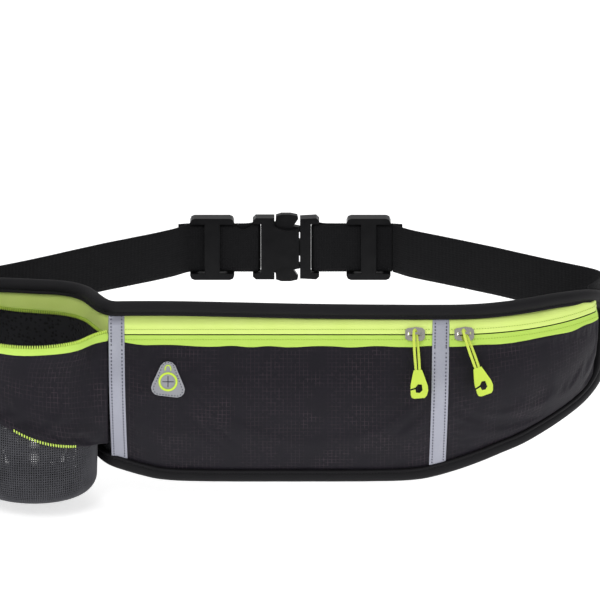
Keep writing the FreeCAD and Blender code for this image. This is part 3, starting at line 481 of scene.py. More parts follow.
def reflective_mat(name):
    m = Mat(name)
    v = m.coord()
    sp = m.n("ShaderNodeTexVoronoi"); sp.inputs["Scale"].default_value = 1500
    m.link(v, sp.inputs["Vector"])
    big = m.noise(v, 60, 2)
    col = m.mix(big, srgb(160, 162, 176), srgb(176, 177, 188))
    col = m.mix(m.math("MULTIPLY", sp.outputs["Distance"], 0.35), col, srgb(140, 142, 158))
    m.link(col, m.b.inputs["Base Color"])
    m.link(m.math("ADD", m.math("MULTIPLY", big, 0.15), 0.34), m.b.inputs["Roughness"])
    m.bump(sp.outputs["Distance"], 0.00006, 0.5)
    m.set(Metallic=0.15, Sheen_Weight=0.1)
    return m.m


def plastic(name, col, rough=0.38, grain=0.00003, wv=False, coat=0.0, spec=0.4):
    m = Mat(name)
    v = m.coord(wv)
    g = m.noise(v, 2600, 2)
    big = m.noise(v, 120, 3)
    c2 = tuple(min(1, c * 1.22 + 0.004) for c in col)
    m.link(m.mix(big, col, c2), m.b.inputs["Base Color"])
    m.link(m.math("ADD", m.math("MULTIPLY", big, 0.16), rough - 0.06), m.b.inputs["Roughness"])
    m.bump(g, grain, 0.7)
    m.set(Coat_Weight=coat, Specular_IOR_Level=spec)
    return m.m


def metal(name):
    m = Mat(name)
    v = m.coord(False)
    g = m.noise(v, 900, 4)
    m.link(m.mix(g, srgb(196, 192, 182), srgb(236, 233, 226)), m.b.inputs["Base Color"])
    m.link(m.math("ADD", m.math("MULTIPLY", g, 0.14), 0.06), m.b.inputs["Roughness"])
    m.bump(g, 0.00003, 0.5)
    m.set(Metallic=1.0)
    return m.m


def cord_mat(name):
    m = Mat(name)
    v = m.coord(False)
    x, y, z = m.sep(v)
    br = m.math("MULTIPLY", m.wave(m.math("ADD", z, x), 0.0011), m.wave(m.math("SUBTRACT", z, x), 0.0011))
    big = m.noise(v, 300, 2)
    col = m.mix(big, srgb(206, 228, 70), srgb(222, 240, 104))
    col = m.mix(m.math("MULTIPLY", br, 0.3), col, srgb(168, 190, 44))
    m.link(col, m.b.inputs["Base Color"])
    m.link(m.math("ADD", m.math("MULTIPLY", big, 0.1), 0.5), m.b.inputs["Roughness"])
    m.bump(br, 0.00012, 0.8)
    return m.m


def mesh_mat(name):
    m = Mat(name)
    v = m.coord(); x, y, _ = m.sep(v)
    f = m.wave(x, 0.0007)
    big = m.noise(v, 60, 2)
    m.link(m.mix(big, srgb(56, 56, 61), srgb(92, 92, 97)), m.b.inputs["Base Color"])
    m.link(m.math("ADD", m.math("MULTIPLY", big, 0.2), 0.5), m.b.inputs["Roughness"])
    m.bump(f, 0.0001, 0.6)
    m.set(Sheen_Weight=0.05, Specular_IOR_Level=0.2)
    return m.m


def spacer_mat(name):
    """Air-mesh knit of the padded back."""
    m = Mat(name)
    v = m.coord()
    vo = m.n("ShaderNodeTexVoronoi"); vo.inputs["Scale"].default_value = 420
    m.link(v, vo.inputs["Vector"])
    hole = m.ramp(vo.outputs["Distance"], 0.15, 0.5)
    big = m.noise(v, 50, 2)
    col = m.mix(big, srgb(30, 30, 33), srgb(42, 42, 46))
    # painted shade: the knit's holes are coloured near black for the shade inside them
    col = m.mix(m.math("SUBTRACT", 1.0, hole), col, srgb(12, 12, 13))
    m.link(col, m.b.inputs["Base Color"])
    m.link(m.math("ADD", m.math("MULTIPLY", big, 0.1), 0.7), m.b.inputs["Roughness"])
    m.bump(hole, 0.0004, 0.9)
    m.set(Sheen_Weight=0.04, Specular_IOR_Level=0.2)
    return m.m


LIME_A, LIME_B = srgb(222, 248, 122), srgb(234, 254, 146)
# painted shade: a darker copy of the same lime, standing in for the shade on the lower zip tapes (also used on the
# holster front tape)
LIME_SHADE_A, LIME_SHADE_B = srgb(186, 226, 82), srgb(204, 238, 104)
M_SHELL = fabric_plaid("shell_cloth")
M_BIND = fabric_binding("binding_cloth")
M_LIME = fabric_lime("zip_tape_lime", LIME_A, LIME_B)
M_LIME_SHADED = fabric_lime("zip_tape_lime_painted_shade", LIME_SHADE_A, LIME_SHADE_B)
M_COIL = plastic("zip_coil_olive", srgb(150, 174, 62), 0.45)
M_TEETH = plastic("zip_teeth_lime", srgb(196, 224, 92), 0.4)
M_REF = reflective_mat("reflective_film")
M_WEB = webbing_mat("webbing_black")
M_PLA = plastic("buckle_plastic", srgb(17, 17, 19), 0.34, 0.00005, spec=0.3)
M_TIP = plastic("pull_tip_lime", srgb(198, 222, 78), 0.4, 0.00003)
M_MET = metal("slider_metal")
M_CORD = cord_mat("pull_cord_lime")
M_MESH = mesh_mat("pouch_net")
M_PAD = spacer_mat("back_air_mesh")
M_PATCH = plastic("port_grey_rubber", srgb(146, 147, 152), 0.55, 0.00005, wv=False)
M_RINGM = plastic("port_lime_rubber", srgb(196, 224, 70), 0.45)
M_MEMB = plastic("port_black_rubber", srgb(42, 44, 46), 0.5)
M_GREYTH = plastic("thread_grey", srgb(70, 71, 84), 0.7)
M_BLKTH = plastic("thread_black", srgb(14, 14, 16), 0.6)
M_LIMETH = plastic("thread_lime", srgb(150, 178, 62), 0.6)
M_LINING = fabric_binding("lining_black")


def paint(ob, mat):
    ob.data.materials.clear()
    ob.data.materials.append(mat)
    return ob


def paint_node(name, mat, bevel=0.0):
    ob = NODES[name]
    if not ob.material_slots:
        ob.data.materials.append(mat)
    for sl in ob.material_slots:
        sl.material = mat
    if bevel:
        b = ob.modifiers.new("edge", "BEVEL")
        b.width = bevel * MM
        b.segments = 3
        b.limit_method = "ANGLE"
        b.angle_limit = math.radians(35)
        b.harden_normals = False


def done(ob, mat, body, slot, *nodes):
    paint(ob, mat)
    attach(ob, body)
    if nodes:
        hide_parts(*nodes)
    return ob


BAG = "bag"

# -------------------------------------------------------------- front shells
def cloth(ob, pin, steps=14, pull=0.0, seed=1, cap=3.0, shrink=0.0):
    """Settles a shell as cloth with its sewn edges held, then caps the movement."""
    me = ob.data
    rest = np.array([v.co[:] for v in me.vertices])
    vg = ob.vertex_groups.new(name="sewn")
    vg.add([int(i) for i in pin], 1.0, "REPLACE")
    md = ob.modifiers.new("cloth", "CLOTH")
    st = md.settings
    st.quality = 6
    st.mass = 0.12
    st.tension_stiffness = 30
    st.compression_stiffness = 20
    st.shear_stiffness = 12
    st.bending_stiffness = 0.05
    st.vertex_group_mass = "sewn"
    st.pin_stiffness = 1.0
    st.shrink_min = shrink
    st.use_pressure = True
    st.uniform_pressure_force = pull
    st.effector_weights.gravity = 0.4
    md.collision_settings.use_collision = False
    md.point_cache.frame_start = 1
    md.point_cache.frame_end = steps
    for f in range(1, steps + 1):
        sc.frame_set(f)
    dg = bpy.context.evaluated_depsgraph_get()
    ev = ob.evaluated_get(dg).data
    new = np.array([v.co[:] for v in ev.vertices])
    ob.modifiers.remove(md)
    ob.vertex_groups.clear()
    d = new - rest
    l = np.linalg.norm(d, axis=1)
    k = np.where(l > cap * MM, cap * MM / np.maximum(l, 1e-9), 1.0)
    d *= k[:, None]
    d[~np.isfinite(d).all(axis=1)] = 0
    me.vertices.foreach_set("co", (rest + d).reshape(-1).astype(np.float32))
    me.update()
    sc.frame_set(1)
    return ob


def shell(name, s0, s1, ns, seed):
    us = np.linspace(s0, s1, ns)
    vs = np.linspace(0, 1, 46)

    def f(s, u):
        out, z = belly(s, u)
        edge = math.sin(math.pi * min(1, max(0, u))) ** 0.5 if 0 < u < 1 else 0.0
        along = max(0.0, min(1.0, (s - s0 - 6) / 16.0, (s1 - s - 6) / 16.0))
        a = 0.9 * nz(s, z, 0, 0.030, seed) + 0.45 * nz(s, z * 0.6, 0, 0.085, seed + 4)
        # puckers that run down from the zip seam and in from the end seams
        pk = 0.42 * math.sin(s * 0.62 + 2.2 * nz(s, 0, 0, 0.05, seed)) * math.exp(-u * 9)
        pe = 0.5 * math.sin(z * 0.36 + 2.5 * nz(0, z, 0, 0.06, seed)) * math.exp(-max(0.0, min(s - s0, s1 - s)) / 9.0)
        k = edge * max(0.0, min(1.0, along * 1.2))
        out = out + a * k - 0.55 * k + pk * edge * along + pe * edge * 0.8 * min(1.0, along * 6)
        return P(s, out, z)

    ob = grid(name, us, vs, f)
    n, m = ns, 46
    pin = [i * m + j for i in range(n) for j in range(m)
           if j < 2 or j > m - 3 or us[i] < max(s0, -117) + 8.5 or (us[i] > s1 - 8.5 and s1 < 100)
           or (s0 > 90 and us[i] < s0 + 8.5) or i == n - 1
           or math.hypot(us[i] + 78, (belly(us[i], vs[j])[1] + 21) * 1.05) < 15]
    cloth(ob, pin, steps=12, pull=0.6, seed=seed, cap=1.2, shrink=-0.012)
    orient(ob)
    solid(ob, 1.0)
    subsurf(ob, 1)
    bake_mods(ob)
    return ob


SE = CX + CR * math.radians(58.8)
main_shell = done(shell("main_shell_cloth", -111.0, 96.8, 150, 3.0), M_SHELL, BAG, "shell_fabric", "main_front_panel")
side_shell = done(shell("side_shell_cloth", 96.6, SE, 96, 11.0), M_SHELL, BAG, "shell_fabric", "side_front_panel")


# ------------------------------------------------------------------ zip tapes
def tape(name, s0, s1, t0, t1, ns, seed, nodes, mat, wav=0.35):
    us = np.linspace(s0, s1, ns)
    vs = np.linspace(0, 1, 14)

    def f(s, v):
        tw = low_t(s) if t1 > 0 else t1
        t = t0 + (tw - t0) * v
        away = max(0.0, min(1.0, (abs(t) - 4.8) / 2.4))
        puff = 0.35 * math.sin(math.pi * v) * away
        n = puff + wav * away * nz(s, t, 0, 0.06, seed)
        if t > 0:
            edge = 0.55 * math.sin(s * 0.19 + 3 * nz(s, 0, 0, 0.02, seed)) * v ** 3
            t = t + edge * 0.8 + 0.2 * v
        n = min(n, 0.3) if abs(t) < 5.2 else n
        out, z = band(t, n - 0.02)
        k = end_fade(s)
        out = 1.8 + (out - 1.8) * k
        if t0 < 0:
            out = tuck(t, out)
            z = min(z, z_hi(min(197.0, at_s(s)[0])) + 1.8)
        return P(s, out, z)

    ob = grid(name, us, vs, f)
    orient(ob)
    solid(ob, 0.9)
    subsurf(ob, 1)
    bake_mods(ob)
    return done(ob, mat, BAG, "zip_fabric", *nodes)


tape("main_zip_upper_cloth", -111, 96.6, -0.3, -12.4, 130, 2.0, ["main_zip_tape_upper"], M_LIME)
# painted shade: the lower tapes take the darker copy of the lime
tape("main_zip_lower_cloth", -111, 96.6, 0.3, 11.0, 130, 5.0, ["main_zip_tape_lower"], M_LIME_SHADED, 0.5)
tape("side_zip_upper_cloth", 96.6, SE, -0.3, -12.4, 84, 8.0, ["side_zip_tape_upper"], M_LIME)
tape("side_zip_lower_cloth", 96.6, SE, 0.3, 11.0, 84, 9.0, ["side_zip_tape_lower"], M_LIME_SHADED, 0.5)


# coils: small loops behind the slit, one piece a side
def coil_row(name, s0, s1, t_in, t_out, nodes, pitch=1.05):
    verts, faces = [], []
    k = 0
    s = s0
    while s < s1:
        base = len(verts)
        for (t, n) in ((t_in, -1.35), (t_in, -2.9), (t_out, -2.9), (t_out, -1.35)):
            for ds in (-0.36, 0.36):
                out, z = band(t, n)
                verts.append(P(s + ds, out, z))
        for a in range(4):
            b = (a + 1) % 4
            faces.append((base + 2 * a, base + 2 * a + 1, base + 2 * b + 1, base + 2 * b))
        faces.append((base, base + 2, base + 4, base + 6))
        faces.append((base + 7, base + 5, base + 3, base + 1))
        s += pitch
    ob = make(name, verts, faces, smooth=False)
    bv = ob.modifiers.new("b", "BEVEL"); bv.width = 0.16 * MM; bv.segments = 1
    bake_mods(ob)
    return done(ob, M_COIL, BAG, "zip_coil", *nodes)


coil_row("main_coil_upper_teeth", -107, 92.5, -0.45, -2.8, ["main_zip_coil_upper"])
coil_row("main_coil_lower_teeth", -106.5, 92.5, 0.45, 2.8, ["main_zip_coil_lower"])
coil_row("side_coil_upper_teeth", 97, CX + CR * math.radians(54.0), -0.45, -2.8, ["side_zip_coil_upper"])
coil_row("side_coil_lower_teeth", 97.5, CX + CR * math.radians(54.0), 0.45, 2.8, ["side_zip_coil_lower"])


def row_on_band(s0, s1, t, pitch, lift=0.02):
    rows = []
    s = s0
    while s < s1:
        out, z = band(t, lift)
        k = end_fade(s)
        p0 = P(s - 0.3, 1.8 + (out - 1.8) * k, z); p1 = P(s + 0.3, 1.8 + (out - 1.8) * k, z)
        x, y, nx, ny = at_s(s)
        rows.append((P(s, 1.8 + (out - 1.8) * k, z), (p1[0] - p0[0], p1[1] - p0[1], 0),
                     (nx * math.cos(LEAN), ny * math.cos(LEAN), math.sin(LEAN))))
        s += pitch
    return rows


r_ = row_on_band(-110, 90, -3.3, 1.7) + row_on_band(-110, 90, 3.3, 1.7)
r_ += row_on_band(103.5, SE - 1, -3.3, 1.7) + row_on_band(103.5, SE - 1, 3.3, 1.7)
done(stitches("zip_stitching", r_, 0.24, 0.9), M_LIMETH, BAG, "zip_fabric")


# --------------------------------------------------------- reflective strips
def strip_point(s, w, lift):
    """w in 0..1 from the top binding down to the bottom one; the strip itself lies in straight plan."""
    t_low = low_t(s) - 0.3
    share = (t_low + 12.2) / 96.0
    ss = max(s, -111.0)
    if w < share:
        t = -12.2 + (t_low + 12.2) * (w / share)
        out, z = band(t, lift)
        out = tuck(t, out)
        z = min(z, z_hi(s) + 1.6)
    else:
        u = (w - share) / (1 - share) * 0.985
        o0, z0 = belly(ss, u)
        o1, z1 = belly(ss, u + 0.01)
        dx, dz = o1 - o0, z1 - z0
        l = math.hypot(dx, dz)
        out, z = o0 - dz / l * lift, z0 + dx / l * lift
        if u < 0.06:
            k = u / 0.06
            bo, bz = band(t_low, lift)
            out = bo * (1 - k) + out * k
            z = bz * (1 - k) + z * k
    if s < -111.0:
        return (s, FY - out, z)
    return P(s, out, z)


def strip(name, s0, wide, node, slant):
    us = np.linspace(0, 1, 9)
    vs = np.linspace(0, 1, 110)

    def f(u, w):
        s = s0 + wide * u + slant * w
        return strip_point(s, w, 0.85 + 0.12 * math.sin(math.pi * u) + 0.08 * nz(s, w * 60, 0, 0.1, 2))

    ob = grid(name, us, vs, f)
    orient(ob)
    solid(ob, 0.7)
    subsurf(ob, 1)
    bake_mods(ob)
    done(ob, M_REF, BAG, "reflective", node)
    rows = []
    for e in (0.17, 0.83):
        w = 0.012
        while w < 0.985:
            p = strip_point(s0 + wide * e + slant * w, w, 0.98)
            q = strip_point(s0 + wide * e + slant * (w + 0.004), w + 0.004, 0.98)
            x, y, nx, ny = at_s(max(s0, -111))
            rows.append((p, (q[0] - p[0], q[1] - p[1], q[2] - p[2]), (nx, ny, 0.1)))
            w += 0.0215
    done(stitches(name + "_stitching", rows, 0.36, 1.25), M_GREYTH, BAG, "reflective")


strip("strip_left_film", -116.4, 10.4, "reflective_strip_left", 1.4)
strip("strip_right_film", 91.2, 11.0, "reflective_strip_right", -1.8)

# --------------------------------------------------------------- edge binding
SECT = [(0.0, 0.9), (0.01, 2.6), (0.07, 3.5), (0.15, 3.6), (0.225, 3.1), (0.26, 2.5), (0.30, 3.1), (0.42, 3.7), (0.62, 3.6),
        (0.80, 3.0), (0.93, 1.6), (1.0, -0.3), (1.0, -1.8), (0.95, -3.2), (0.82, -4.3), (0.6, -4.9), (0.4, -5.0),
        (0.29, -4.85), (0.235, -4.4), (0.18, -4.8), (0.08, -4.7), (0.0, -3.9)]


def ring_point(i, w, off):
    o, n_ = ring_o[i], rn[i]
    x, z = o + n_ * (BW * (1 - w))
    x = max(-209.0, min(208.6, x))
    s = s_of_x(x)
    return P(s, off, z)


def bf(i, j):
    w, off = SECT[j]
    k = 0.22 * nz(ring_o[i][0], ring_o[i][1], j * 0.4, 0.09, 6)
    return ring_point(i, w + 0.012 * k, off + k)


bind = grid("edge_binding_cloth", list(range(len(ring_o))), list(range(len(SECT))), bf, closed_u=True, closed_v=True)
orient_closed(bind)
subsurf(bind, 1)
bake_mods(bind)
done(bind, M_BIND, BAG, "binding_fabric", "top_binding", "bottom_binding")
rows = []
acc = 0.0
for i in range(len(ring_o)):
    for off, nn, ww in ((2.62, 1, 0.262), (-4.5, -1, 0.235)):
        p = ring_point(i, ww, off)
        q = ring_point((i + 1) % len(ring_o), ww, off)
        x, y, nx, ny = at_s(s_of_x(ring_o[i][0]))
        rows.append((p, (q[0] - p[0], q[1] - p[1], q[2] - p[2]), (nx * nn, ny * nn, 0)))
done(stitches("edge_binding_stitching", rows, 0.2, 1.3), M_BLKTH, BAG, "binding_fabric")

# ------------------------------------------------------------------ back panel
XS = np.concatenate([np.linspace(-201.4, -112, 70), np.linspace(-110, 110, 120), np.linspace(111, 200.9, 60)])


def panel(sgn, base):
    def f(x, v):
        lo, hi = z_lo(x) - 1.0, z_hi(x) + 1.0
        z = lo + (hi - lo) * v
        s = s_of_x(x)
        rim = min(1.0, (hi - z) / 7.0, (z - lo) / 7.0, (x + 203) / 7.0, (202.5 - x) / 7.0)
        rim = max(0.0, rim) ** 0.6
        if sgn < 0:
            # padded: two long sewn channels and a soft crown between them
            ch = min(abs(z - (lo + (hi - lo) * 0.36)), abs(z - (lo + (hi - lo) * 0.68)))
            ch = 1 - math.exp(-(ch / 2.6) ** 2)
            off = base - rim * (1.7 * ch + 0.25) - 0.25 * nz(x, z, 0, 0.05, 21) * rim
        else:
            off = base + 0.15 * rim * nz(x, z, 0, 0.05, 20)
        return P(s, off, z)
    return f


vsn = np.linspace(0, 1, 40)
fp = panel(1, -0.1); bpn = panel(-1, -3.6)
n, m = len(XS), len(vsn)
V1 = [fp(x, v) for x in XS for v in vsn]
V2 = [bpn(x, v) for x in XS for v in vsn]
F = []
for i in range(n - 1):
    for j in range(m - 1):
        a, b_, c_, d = i * m + j, (i + 1) * m + j, (i + 1) * m + j + 1, i * m + j + 1
        F.append((a, b_, c_, d))
        o = n * m
        F.append((a + o, d + o, c_ + o, b_ + o))
rim_idx = [i * m for i in range(n)] + [(n - 1) * m + j for j in range(1, m)] + [i * m + m - 1 for i in range(n - 2, -1, -1)] + [j for j in range(m - 2, 0, -1)]
for k in range(len(rim_idx)):
    a, b_ = rim_idx[k], rim_idx[(k + 1) % len(rim_idx)]
    F.append((b_, a, a + n * m, b_ + n * m))
wv = []
for lay in (0, 1):
    for x in XS:
        for v in vsn:
            wv.append((s_of_x(x) * MM, (z_lo(x) + (z_hi(x) - z_lo(x)) * v) * MM, lay * 0.01))
backp = make("back_panel_pad", V1 + V2, F, wv)
orient_closed(backp)
subsurf(backp, 1)
bake_mods(backp)
done(backp, M_PAD, BAG, "panel_fabric", "back_panel")

# ---------------------------------------------------------- holster band
HX, HY, BR = -164.5, -101.0, 44.0


def band_path(z):
    """Plan line of the holster band's outer face at height z."""
    o = band((ZL - z) / math.cos(LEAN), 0)[0] if z > -4.5 else None
    if o is None:
        us_ = np.linspace(0, 1, 40)
        bz = [belly(-116.5, u) for u in us_]
        o = float(np.interp(-z, [-b[1] for b in bz], [b[0] for b in bz]))
    pts = [(-204.8, -32.9), (-207.8, -50), (-208.6, -66), (-208.8, -84), (-208.5, -100)]
    for a in range(195, 318, 12):
        pts.append((HX + BR * math.cos(math.radians(a)), HY + BR * math.sin(math.radians(a))))
    pts.append((-124.4, FY - (o * 0.55 + 11.5)))
    pts.append((-116.2, FY - o - 0.15))
    return catmull(pts, 6)


def along(path, t):
    d = np.concatenate([[0], np.cumsum(np.hypot(*np.diff(path, axis=0).T))])
    q = t * d[-1]
    return np.array([np.interp(q, d, path[:, 0]), np.interp(q, d, path[:, 1])])


BAND_BOT = [(-260, -32), (-213, -36), (-205, -38.5), (-190, -44), (-172, -51), (-155, -57),
            (-140, -62.5), (-128, -66.5), (-118, -69), (-100, -71)]
_bx = [p[0] for p in BAND_BOT]; _bz = [p[1] for p in BAND_BOT]
NB = 110
_tt = np.linspace(0, 1, NB)
_zs = np.linspace(-76, 9, 36)
_paths = {i: band_path(z) for i, z in enumerate(_zs)}
_lay = np.array([[along(_paths[i], t) for t in _tt] for i in range(len(_zs))])   # z, t, xy
_lx = _lay[:, :, 0]; _ly = _lay[:, :, 1]


def band_xy(ti, z):
    x = np.interp(z, _zs, _lx[:, ti]); y = np.interp(z, _zs, _ly[:, ti])
    return x, y


def band_nrm(ti, z):
    a = band_xy(max(0, ti - 1), z); b_ = band_xy(min(NB - 1, ti + 1), z)
    tx, ty = b_[0] - a[0], b_[1] - a[1]
    l = math.hypot(tx, ty)
    return ty / l, -tx / l


def band_pt(ti, z, off):
    x, y = band_xy(ti, z)
    nx, ny = band_nrm(ti, z)
    return (x + nx * off, y + ny * off, z)


def bottom_at(ti):
    x = band_xy(ti, -50)[0]
    y = band_xy(ti, -50)[1]
    z = float(np.interp(x, _bx, _bz))
    if y > -100 and x < -180:
        z = -36.0
    return z


def fold(ti, z, seed=5.0, amp=1.0):
    t = ti / (NB - 1) * 190
    hold = min(1.0, (NB - 1 - ti) / 8.0, ti / 6.0)
    return amp * hold * (0.8 * nz(t, z, 0, 0.035, seed) + 0.4 * nz(t, z * 1.6, 0, 0.09, seed + 3)
                         + 0.35 * math.sin(t * 0.16 + z * 0.07)) - 0.75 * hold


_bc = [bottom_at(i) for i in range(NB)]


def bandf(ti, v):
    zt = 2.9
    zb = _bc[ti]
    z = zt + (zb - zt) * v
    e = math.sin(math.pi * v) ** 0.4 if 0 < v < 1 else 0.0
    return band_pt(ti, z, fold(ti, z) * e)


hb = grid("holster_band_cloth", list(range(NB)), np.linspace(0, 1, 34), bandf)
pinb = [i * 34 for i in range(NB)] + [i * 34 + 33 for i in range(NB)] + list(range(34)) + [(NB - 1) * 34 + j for j in range(34)]
cloth(hb, pinb, steps=10, pull=0.3, cap=1.2, shrink=-0.01)
orient(hb, (HX, HY + 30, -30))
solid(hb, 1.2)
subsurf(hb, 1)
bake_mods(hb)
done(hb, M_SHELL, BAG, "shell_fabric", "holster_band")


def frontape(ti, v):
    z = 6.4 + (1.9 - 6.4) * v
    wv_ = 0.15 * math.sin(ti * 0.33) * v
    return band_pt(ti, z + wv_ - (0.4 * v), 0.35 * math.sin(math.pi * v) + 0.15)


ft = grid("holster_tape_front_cloth", list(range(NB)), np.linspace(0, 1, 8), frontape)
orient(ft, (HX, HY + 30, 4))
solid(ft, 1.3)
subsurf(ft, 1)
bake_mods(ft)
done(ft, M_LIME_SHADED, BAG, "zip_fabric", "holster_zip_tape_front")


def tooth_row(name, frames_, size, nodes, mat):
    """Separate moulded teeth: frames_ is a list of (point, along, up, out)."""
    verts, faces = [], []
    for p, a, u, o in frames_:
        p, a, u, o = Vector(p), Vector(a).normalized(), Vector(u).normalized(), Vector(o).normalized()
        base = len(verts)
        l, h, w = size
        prof = [(-0.5, 0.0), (0.5, 0.0), (0.42, 0.7), (0.22, 1.0), (-0.22, 1.0), (-0.42, 0.7)]
        for so in (-0.5, 0.5):
            for pa, pu in prof:
                verts.append(tuple(p + a * (pa * l) + u * (pu * h) + o * (so * w)))
        k = len(prof)
        faces.append(tuple(base + i for i in range(k)))
        faces.append(tuple(base + 2 * k - 1 - i for i in range(k)))
        for i in range(k):
            j = (i + 1) % k
            faces.append((base + i, base + k + i, base + k + j, base + j))
    ob = make(name, verts, faces, smooth=False)
    bv = ob.modifiers.new("b", "BEVEL"); bv.width = 0.12 * MM; bv.segments = 1
    bake_mods(ob)
    return done(ob, mat, BAG, "zip_coil", *nodes)


fr = []
tq = np.arange(1.5, NB - 2, 0.88)
for t in tq:
    i = int(t); k = t - i
    z = 6.3
    a = np.array(band_pt(i, z, -0.55)); b_ = np.array(band_pt(min(NB - 1, i + 1), z, -0.55))
    p = a * (1 - k) + b_ * k
    nx, ny = band_nrm(i, z)
    fr.append((tuple(p), tuple(b_ - a), (0, 0, 1), (nx, ny, 0)))
tooth_row("holster_teeth_front", fr, (0.95, 1.9, 1.3), ["holster_zip_coil_front"], M_TEETH)
fr = []
for t in np.arange(2.0, NB - 3, 0.88):
    i = int(t); k = t - i
    zb = _bc[i] * (1 - k) + _bc[min(NB - 1, i + 1)] * k
    a = np.array(band_pt(i, _bc[i], -0.55)); b_ = np.array(band_pt(min(NB - 1, i + 1), _bc[min(NB - 1, i + 1)], -0.55))
    p = a * (1 - k) + b_ * k
    nx, ny = band_nrm(i, zb)
    if not (-176.5 < p[0] < -136.5 and p[1] < -100):
        continue
    dip = 1.9 * math.sin(math.pi * (p[0] + 176.5) / 40.0) - 1.4
    fr.append((tuple(p - np.array([0, 0, dip])), tuple(b_ - a), (0, 0, -1), (nx, ny, 0)))
tooth_row("holster_teeth_lower", fr, (0.95, 1.9, 1.3), ["holster_lower_coil"], M_TEETH)

# back half of the holster zip on the panel
sL0, sL1 = s_of_x(-206.5), -112.5


def backtape(s, v):
    z = 15.2 + (2.8 - 15.2) * v
    z = min(z, z_hi(max(-201, at_s(s)[0])) + 1.2)
    return P(s, 0.55 + 0.35 * math.sin(math.pi * v) + 0.25 * nz(s, z, 0, 0.07, 31) * v, z)


bt = grid("holster_tape_back_cloth", np.linspace(sL0, -111.5, 90), np.linspace(0, 1, 9), backtape)
orient(bt, (0, 300, 0))
solid(bt, 0.8)
subsurf(bt, 1)
bake_mods(bt)
done(bt, M_LIME, BAG, "zip_fabric", "holster_zip_tape_back")
fr = []
s = s_of_x(-201)
while s < -122:
    p0 = P(s - 0.3, 0.8, 2.9); p1 = P(s + 0.3, 0.8, 2.9)
    x, y, nx, ny = at_s(s)
    fr.append((P(s, 0.8, 2.9), (p1[0] - p0[0], p1[1] - p0[1], 0), (0, 0, -1), (nx, ny, 0)))
    s += 1.5
tooth_row("holster_teeth_back", fr, (0.95, 1.8, 1.2), ["holster_zip_coil_back"], M_TEETH)

# mesh pouch: a net of fine strands over a cup
PR = 41.3


def cup(a, w):
    """w 0..1 down the wall and in across the floor."""
    Lw, Rf = 55.5, 10.0
    path = Lw + Rf * math.pi / 2 + (PR - Rf)
    q = w * path
    sag = 0.9 * nz(math.cos(a) * 30, math.sin(a) * 30, q * 0.6, 0.05, 41)
    if q < Lw:
        r, z = PR - 0.3 - 1.4 * (q / Lw) ** 2 + sag * min(1, q / 12), -36.0 - q
    elif q < Lw + Rf * math.pi / 2:
        th = (q - Lw) / Rf
        r, z = PR - 1.7 - Rf + Rf * math.cos(th) + sag * (1 - th / 1.6), -91.5 - Rf * math.sin(th)
    else:
        r, z = (PR - 1.7 - Rf) - (q - Lw - Rf * math.pi / 2) * 0.93, -101.5 + 0.5 * nz(a * 9, q, 0, 0.1, 4)
    r = max(r, 0.4)
    return (HX + r * math.cos(a), HY + r * math.sin(a), z)


na, nw = 168, 46
W_FOOT = (55.5 + 10.0 * math.pi / 2 + 0.6) / (55.5 + 10.0 * math.pi / 2 + PR - 10.0)
cupm = grid("mesh_pouch_net", np.linspace(0, 2 * math.pi, na, endpoint=False), np.linspace(0, W_FOOT, nw), cup, closed_u=True)
# strands: a wireframe of the grid's quads makes the net
wf = cupm.modifiers.new("net", "WIREFRAME")
wf.thickness = 1.2 * MM
wf.use_boundary = True
wf.use_even_offset = False
wf.use_replace = True
bake_mods(cupm)
done(cupm, M_MESH, BAG, "mesh", "mesh_pouch")
# thin inner layer of the double knit, turned half a pitch


def cup2(a, w):
    x, y, z = cup(a, w)
    return (HX + (x - HX) * 0.985, HY + (y - HY) * 0.985, z + 0.35)


cup2m = grid("mesh_pouch_inner_net", np.linspace(0.02, 2 * math.pi + 0.02, 190, endpoint=False),
             np.linspace(0.004, W_FOOT, 52), cup2, closed_u=True)
wf = cup2m.modifiers.new("net", "WIREFRAME")
wf.thickness = 0.85 * MM
wf.use_even_offset = False
wf.use_replace = True
bake_mods(cup2m)
done(cup2m, M_MESH, BAG, "mesh")
fverts, ffaces, fidx = [], [], {}
FP, FR = 1.55, 30.6


def fv(i, j):
    if (i, j) not in fidx:
        fidx[(i, j)] = len(fverts)
        x, y = i * FP, j * FP
        fverts.append((HX + x, HY + y, -101.7 + 0.7 * nz(x, y, 3, 0.06, 44)))
    return fidx[(i, j)]


for i in range(-20, 20):
    for j in range(-20, 20):
        if all(math.hypot((i + a) * FP, (j + b) * FP) < FR for a in (0, 1) for b in (0, 1)):
            ffaces.append((fv(i, j), fv(i + 1, j), fv(i + 1, j + 1), fv(i, j + 1)))
fwv = [((x - HX) * MM, (y - HY) * MM, 0.0) for x, y, z in fverts]
flo = make("mesh_pouch_floor_net", fverts, ffaces, fwv)
wf = flo.modifiers.new("net", "WIREFRAME")
wf.thickness = 1.0 * MM
wf.use_boundary = True
wf.use_even_offset = False
wf.use_replace = True
bake_mods(flo)
done(flo, M_MESH, BAG, "mesh")
# sewn seam where floor and wall meet
sv, sf = [], []
for i in range(96):
    a = 2 * math.pi * i / 96
    for q in range(6):
        b = q * math.pi / 3
        r = FR - 0.2 + 0.9 * math.cos(b)
        sv.append((HX + r * math.cos(a), HY + r * math.sin(a), -101.3 + 0.7 * math.sin(b)))
for i in range(96):
    for q in range(6):
        a0, a1 = i * 6 + q, i * 6 + (q + 1) % 6
        b0, b1 = ((i + 1) % 96) * 6 + q, ((i + 1) % 96) * 6 + (q + 1) % 6
        sf.append((a0, b0, b1, a1))
seam = make("mesh_pouch_foot_seam", sv, sf, [(x * MM, z * MM, 0) for x, y, z in sv])
orient_closed(seam)
done(seam, M_BIND, BAG, "mesh")

